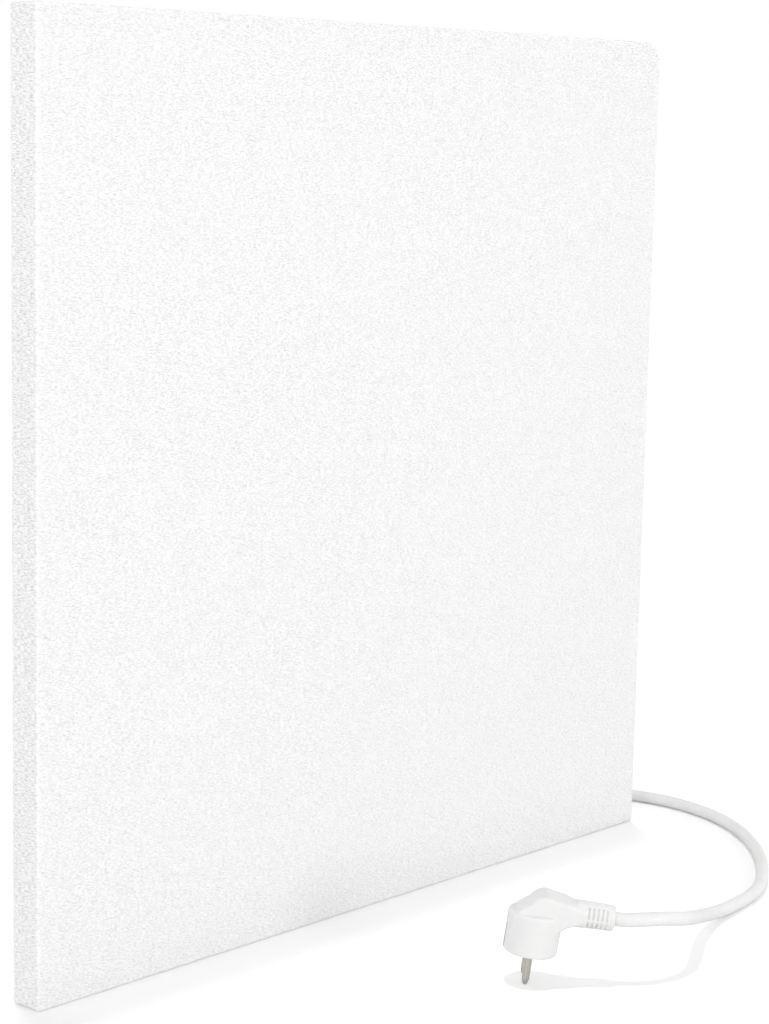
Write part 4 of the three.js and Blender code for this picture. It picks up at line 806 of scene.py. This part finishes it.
finishes.update({
    "cord_white": satin_sheath(),
    "plug_white": moulded("plug_plastic", (0.76, 0.76, 0.755), (0.80, 0.80, 0.795), 0.38,
                          1600, 0.00006),
    "white_plastic": moulded("box_plastic", (0.84, 0.84, 0.83), (0.91, 0.91, 0.90), 0.5,
                             1400, 0.00015),
    "terminal_plastic": moulded("terminal_plastic", (0.80, 0.78, 0.71), (0.89, 0.87, 0.81), 0.5,
                                1200, 0.0001),
    "limiter_black": moulded("limiter_case", grey(0.03), grey(0.07), 0.55, 900, 0.0001),
    "black_rubber": moulded("bush_rubber", grey(0.02), grey(0.05), 0.75, 1100, 0.0001),
    "white_rubber": moulded("spacer_rubber", (0.78, 0.78, 0.77), (0.87, 0.87, 0.86), 0.7,
                            1100, 0.0001),
    "amber_film": moulded("amber_film", (0.60, 0.30, 0.06), (0.74, 0.44, 0.14), 0.25,
                          300, 0.00003),
    "sleeve_brown": moulded("brown_sleeve", (0.26, 0.12, 0.06), (0.36, 0.19, 0.10), 0.5,
                            900, 0.00005),
    "sleeve_blue": moulded("blue_sleeve", (0.06, 0.18, 0.46), (0.11, 0.26, 0.58), 0.5,
                           900, 0.00005),
    "tie_strap": woven_strap(),
})
print("finishes so far:", len(finishes))

# %% [markdown]
# ### Metals
# Nickel on the pins is warm grey with fine drawn lines along each pin. Zinc on screws, rivets and
# hangers has a pale, slightly blotched spangle. Foil, strip and brass stay inside the panel.

# %% Metals
def plated_pin():
    nickel = Finish("plated_pin", 0.3, metallic=1.0)
    lines = nickel.noise(2600, 2600, 60, detail=2)
    nickel.tint(nickel.clamp(lines, 0.35, 0.65), (0.50, 0.475, 0.44), (0.72, 0.69, 0.64))
    nickel.gloss(lines * 0.2 + 0.2)
    nickel.relief(lines, 0.00004)
    return nickel.material


def metal(name, dark, light, roughness, spangle, depth=0.00003):
    """A plain or plated metal, blotched in tone and gloss."""
    plate = Finish(name, roughness, metallic=1.0)
    blotch = plate.noise(spangle, spangle, spangle, detail=4, roughness=0.65)
    plate.tint(plate.clamp(blotch, 0.3, 0.7), dark, light)
    plate.gloss(blotch * 0.3 + (roughness - 0.15))
    plate.relief(blotch, depth)
    return plate.material


finishes.update({
    "pin_nickel": plated_pin(),
    "zinc_steel": metal("zinc_plate", (0.62, 0.63, 0.65), (0.76, 0.77, 0.78), 0.38, 160),
    "resistance_foil": metal("resistance_strip", (0.15, 0.15, 0.16), (0.26, 0.26, 0.27), 0.45, 160),
    "brass_tab": metal("brass_tab", (0.66, 0.50, 0.22), (0.80, 0.65, 0.34), 0.35, 120),
    "bright_foil": metal("bright_foil", (0.74, 0.75, 0.77), (0.90, 0.90, 0.91), 0.25, 90, 0.0003),
})
print("finishes so far:", len(finishes))

# %% [markdown]
# ### Sheets and sleeves inside
# The laminate shows its glass weave, the board its pressed fibres, and the earth lead's green
# sleeve its yellow stripe.

# %% Inside sheets and sleeves
def fibre_sheet(name, dark, light, roughness, grain, depth):
    """A pressed or woven sheet, its fibres drawn out by a grain that differs by direction."""
    sheet = Finish(name, roughness)
    fibres = sheet.noise(*grain, detail=4, roughness=0.6)
    sheet.tint(sheet.clamp(fibres, 0.3, 0.7), dark, light)
    sheet.gloss(fibres * 0.2 + (roughness - 0.1))
    sheet.relief(fibres, depth)
    return sheet.material


def striped_sleeve():
    sleeve = Finish("striped_sleeve", 0.5)
    stripe = sleeve.clamp(sleeve.bands("DIAGONAL", 60, 0.0), 0.45, 0.55)
    sleeve.tint(stripe, (0.10, 0.30, 0.06), (0.75, 0.62, 0.06))
    sleeve.relief(sleeve.noise(900, 900, 900), 0.00005)
    return sleeve.material


finishes.update({
    "laminate": fibre_sheet("glass_laminate", (0.38, 0.32, 0.20), (0.55, 0.49, 0.34), 0.6,
                            (900, 300, 900), 0.0001),
    "fibre_board": fibre_sheet("fibre_board", (0.70, 0.65, 0.50), (0.90, 0.86, 0.75), 0.9,
                               (500, 1200, 500), 0.0005),
    "sleeve_green": striped_sleeve(),
})
print("finishes:", len(finishes))

# %% Finishes put on every piece and frame node
slot_of = {node: body.material_slots[0].material.name.split(".")[0]
           for node, body in frame["nodes"].items()}
for node, body in frame["nodes"].items():
    for held in body.material_slots:
        held.material = finishes[slot_of[node]]
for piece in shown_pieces():
    wanted = piece.get("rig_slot")
    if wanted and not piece.get("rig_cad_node"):
        piece.data.materials.clear()
        piece.data.materials.append(finishes[wanted])
print("slots in use:", len(set(slot_of.values())))

# %% Points on the lead
print("points on the lead:", len(route))

# %% [markdown]
# ## Floor and light
# A plain white floor runs out of sight, and it keeps the shadows. Camera rays see it and the world
# as white: for them the floor is a pure white that glows faintly, so that only real shadows stay
# below white. For all other rays it is a light grey, which throws less light up at the panel. The
# room is bright at the horizon and dim overhead, as with a studio's white walls. A wide lamp in
# front and one on the left light the face and the side evenly. A weak high sun, a little behind
# the panel, lays the thin shadow along its foot.

# %% Floor
FLOOR_SIZE = 30
FLOOR_THROWS, FLOOR_GLOWS = 0.80, 0.12
WHITE = (1, 1, 1, 1)

shape = bmesh.new()
bmesh.ops.create_grid(shape, x_segments=1, y_segments=1, size=FLOOR_SIZE)
floor = in_scene("studio_floor", as_mesh("studio_floor", shape))
paper = bpy.data.materials.new("white_floor")
paper.use_nodes = True
paper.node_tree.nodes.clear()
base = Field(paper.node_tree)
to_camera = base.add("ShaderNodeLightPath", out="Is Camera Ray")
white = base.add("ShaderNodeBsdfDiffuse", ("Color", WHITE))
plain = base.add("ShaderNodeBsdfDiffuse", ("Color", (*grey(FLOOR_THROWS), 1)))
glow = base.add("ShaderNodeEmission", ("Color", WHITE), ("Strength", FLOOR_GLOWS))
bright = base.add("ShaderNodeAddShader", (0, white), (1, glow))
base.add("ShaderNodeMixShader", (0, to_camera), (1, plain), (2, bright)).end("ShaderNodeOutputMaterial")
floor.data.materials.append(paper)
print("floor, m:", [round(v) for v in floor.dimensions])

# %% Room
ZENITH, HORIZON = 0.1, 1.9

world = bpy.data.worlds.new("white_room")
bpy.context.scene.world = world
world.use_nodes = True
world.node_tree.nodes.clear()
base = Field(world.node_tree)
rays = [base.add("ShaderNodeLightPath", out=f"Is {kind} Ray")
        for kind in ("Camera", "Glossy", "Transmission")]
seen = base.sum("MINIMUM", rays[0] + rays[1] + rays[2], 1.0)
up = base.add("ShaderNodeSeparateXYZ", (0, base.add("ShaderNodeTexCoord", out="Generated")), out="Z")
room = (1 - base.sum("MAXIMUM", up, 0.0)) * (HORIZON - ZENITH) + ZENITH
level = seen + (1 - seen) * room
glow = base.add("ShaderNodeBackground", ("Color", WHITE), ("Strength", level))
glow.end("ShaderNodeOutputWorld")
print("room:", HORIZON, "at the horizon,", ZENITH, "overhead")

# %% Lamps
LAMP_SIZE = 1.1
FRONT_LAMP, FRONT_AIM, FRONT_POWER = (0.2, -3.0, 0.6), (0.1, 0, 0.2), 13
SIDE_LAMP, SIDE_AIM, SIDE_POWER = (-2.8, -0.9, 0.6), (-0.3, 0, 0.25), 10
SUN_WAY, SUN_STRENGTH, SUN_ANGLE = (-0.05, -0.075, -1), 0.20 * math.pi, math.radians(4)


def shine(name, light, place, way):
    """Sets a light at its place, turned the given way."""
    holder = in_scene(name, light)
    holder.location = place
    holder.rotation_mode = "QUATERNION"
    holder.rotation_quaternion = Vector(way).to_track_quat("-Z", "Y")


def wide_lamp(name, place, target, power):
    light = bpy.data.lights.new(name, "AREA")
    light.shape = "DISK"
    light.size = LAMP_SIZE
    light.energy = power
    shine(name, light, place, Vector(target) - Vector(place))


wide_lamp("front_lamp", FRONT_LAMP, FRONT_AIM, FRONT_POWER)
wide_lamp("side_lamp", SIDE_LAMP, SIDE_AIM, SIDE_POWER)
high = bpy.data.lights.new("high_lamp", "SUN")
high.energy = SUN_STRENGTH
high.angle = SUN_ANGLE
shine("high_lamp", high, (0.2, 0.3, 3), SUN_WAY)
print("lamps:", [light.name for light in bpy.data.lights])
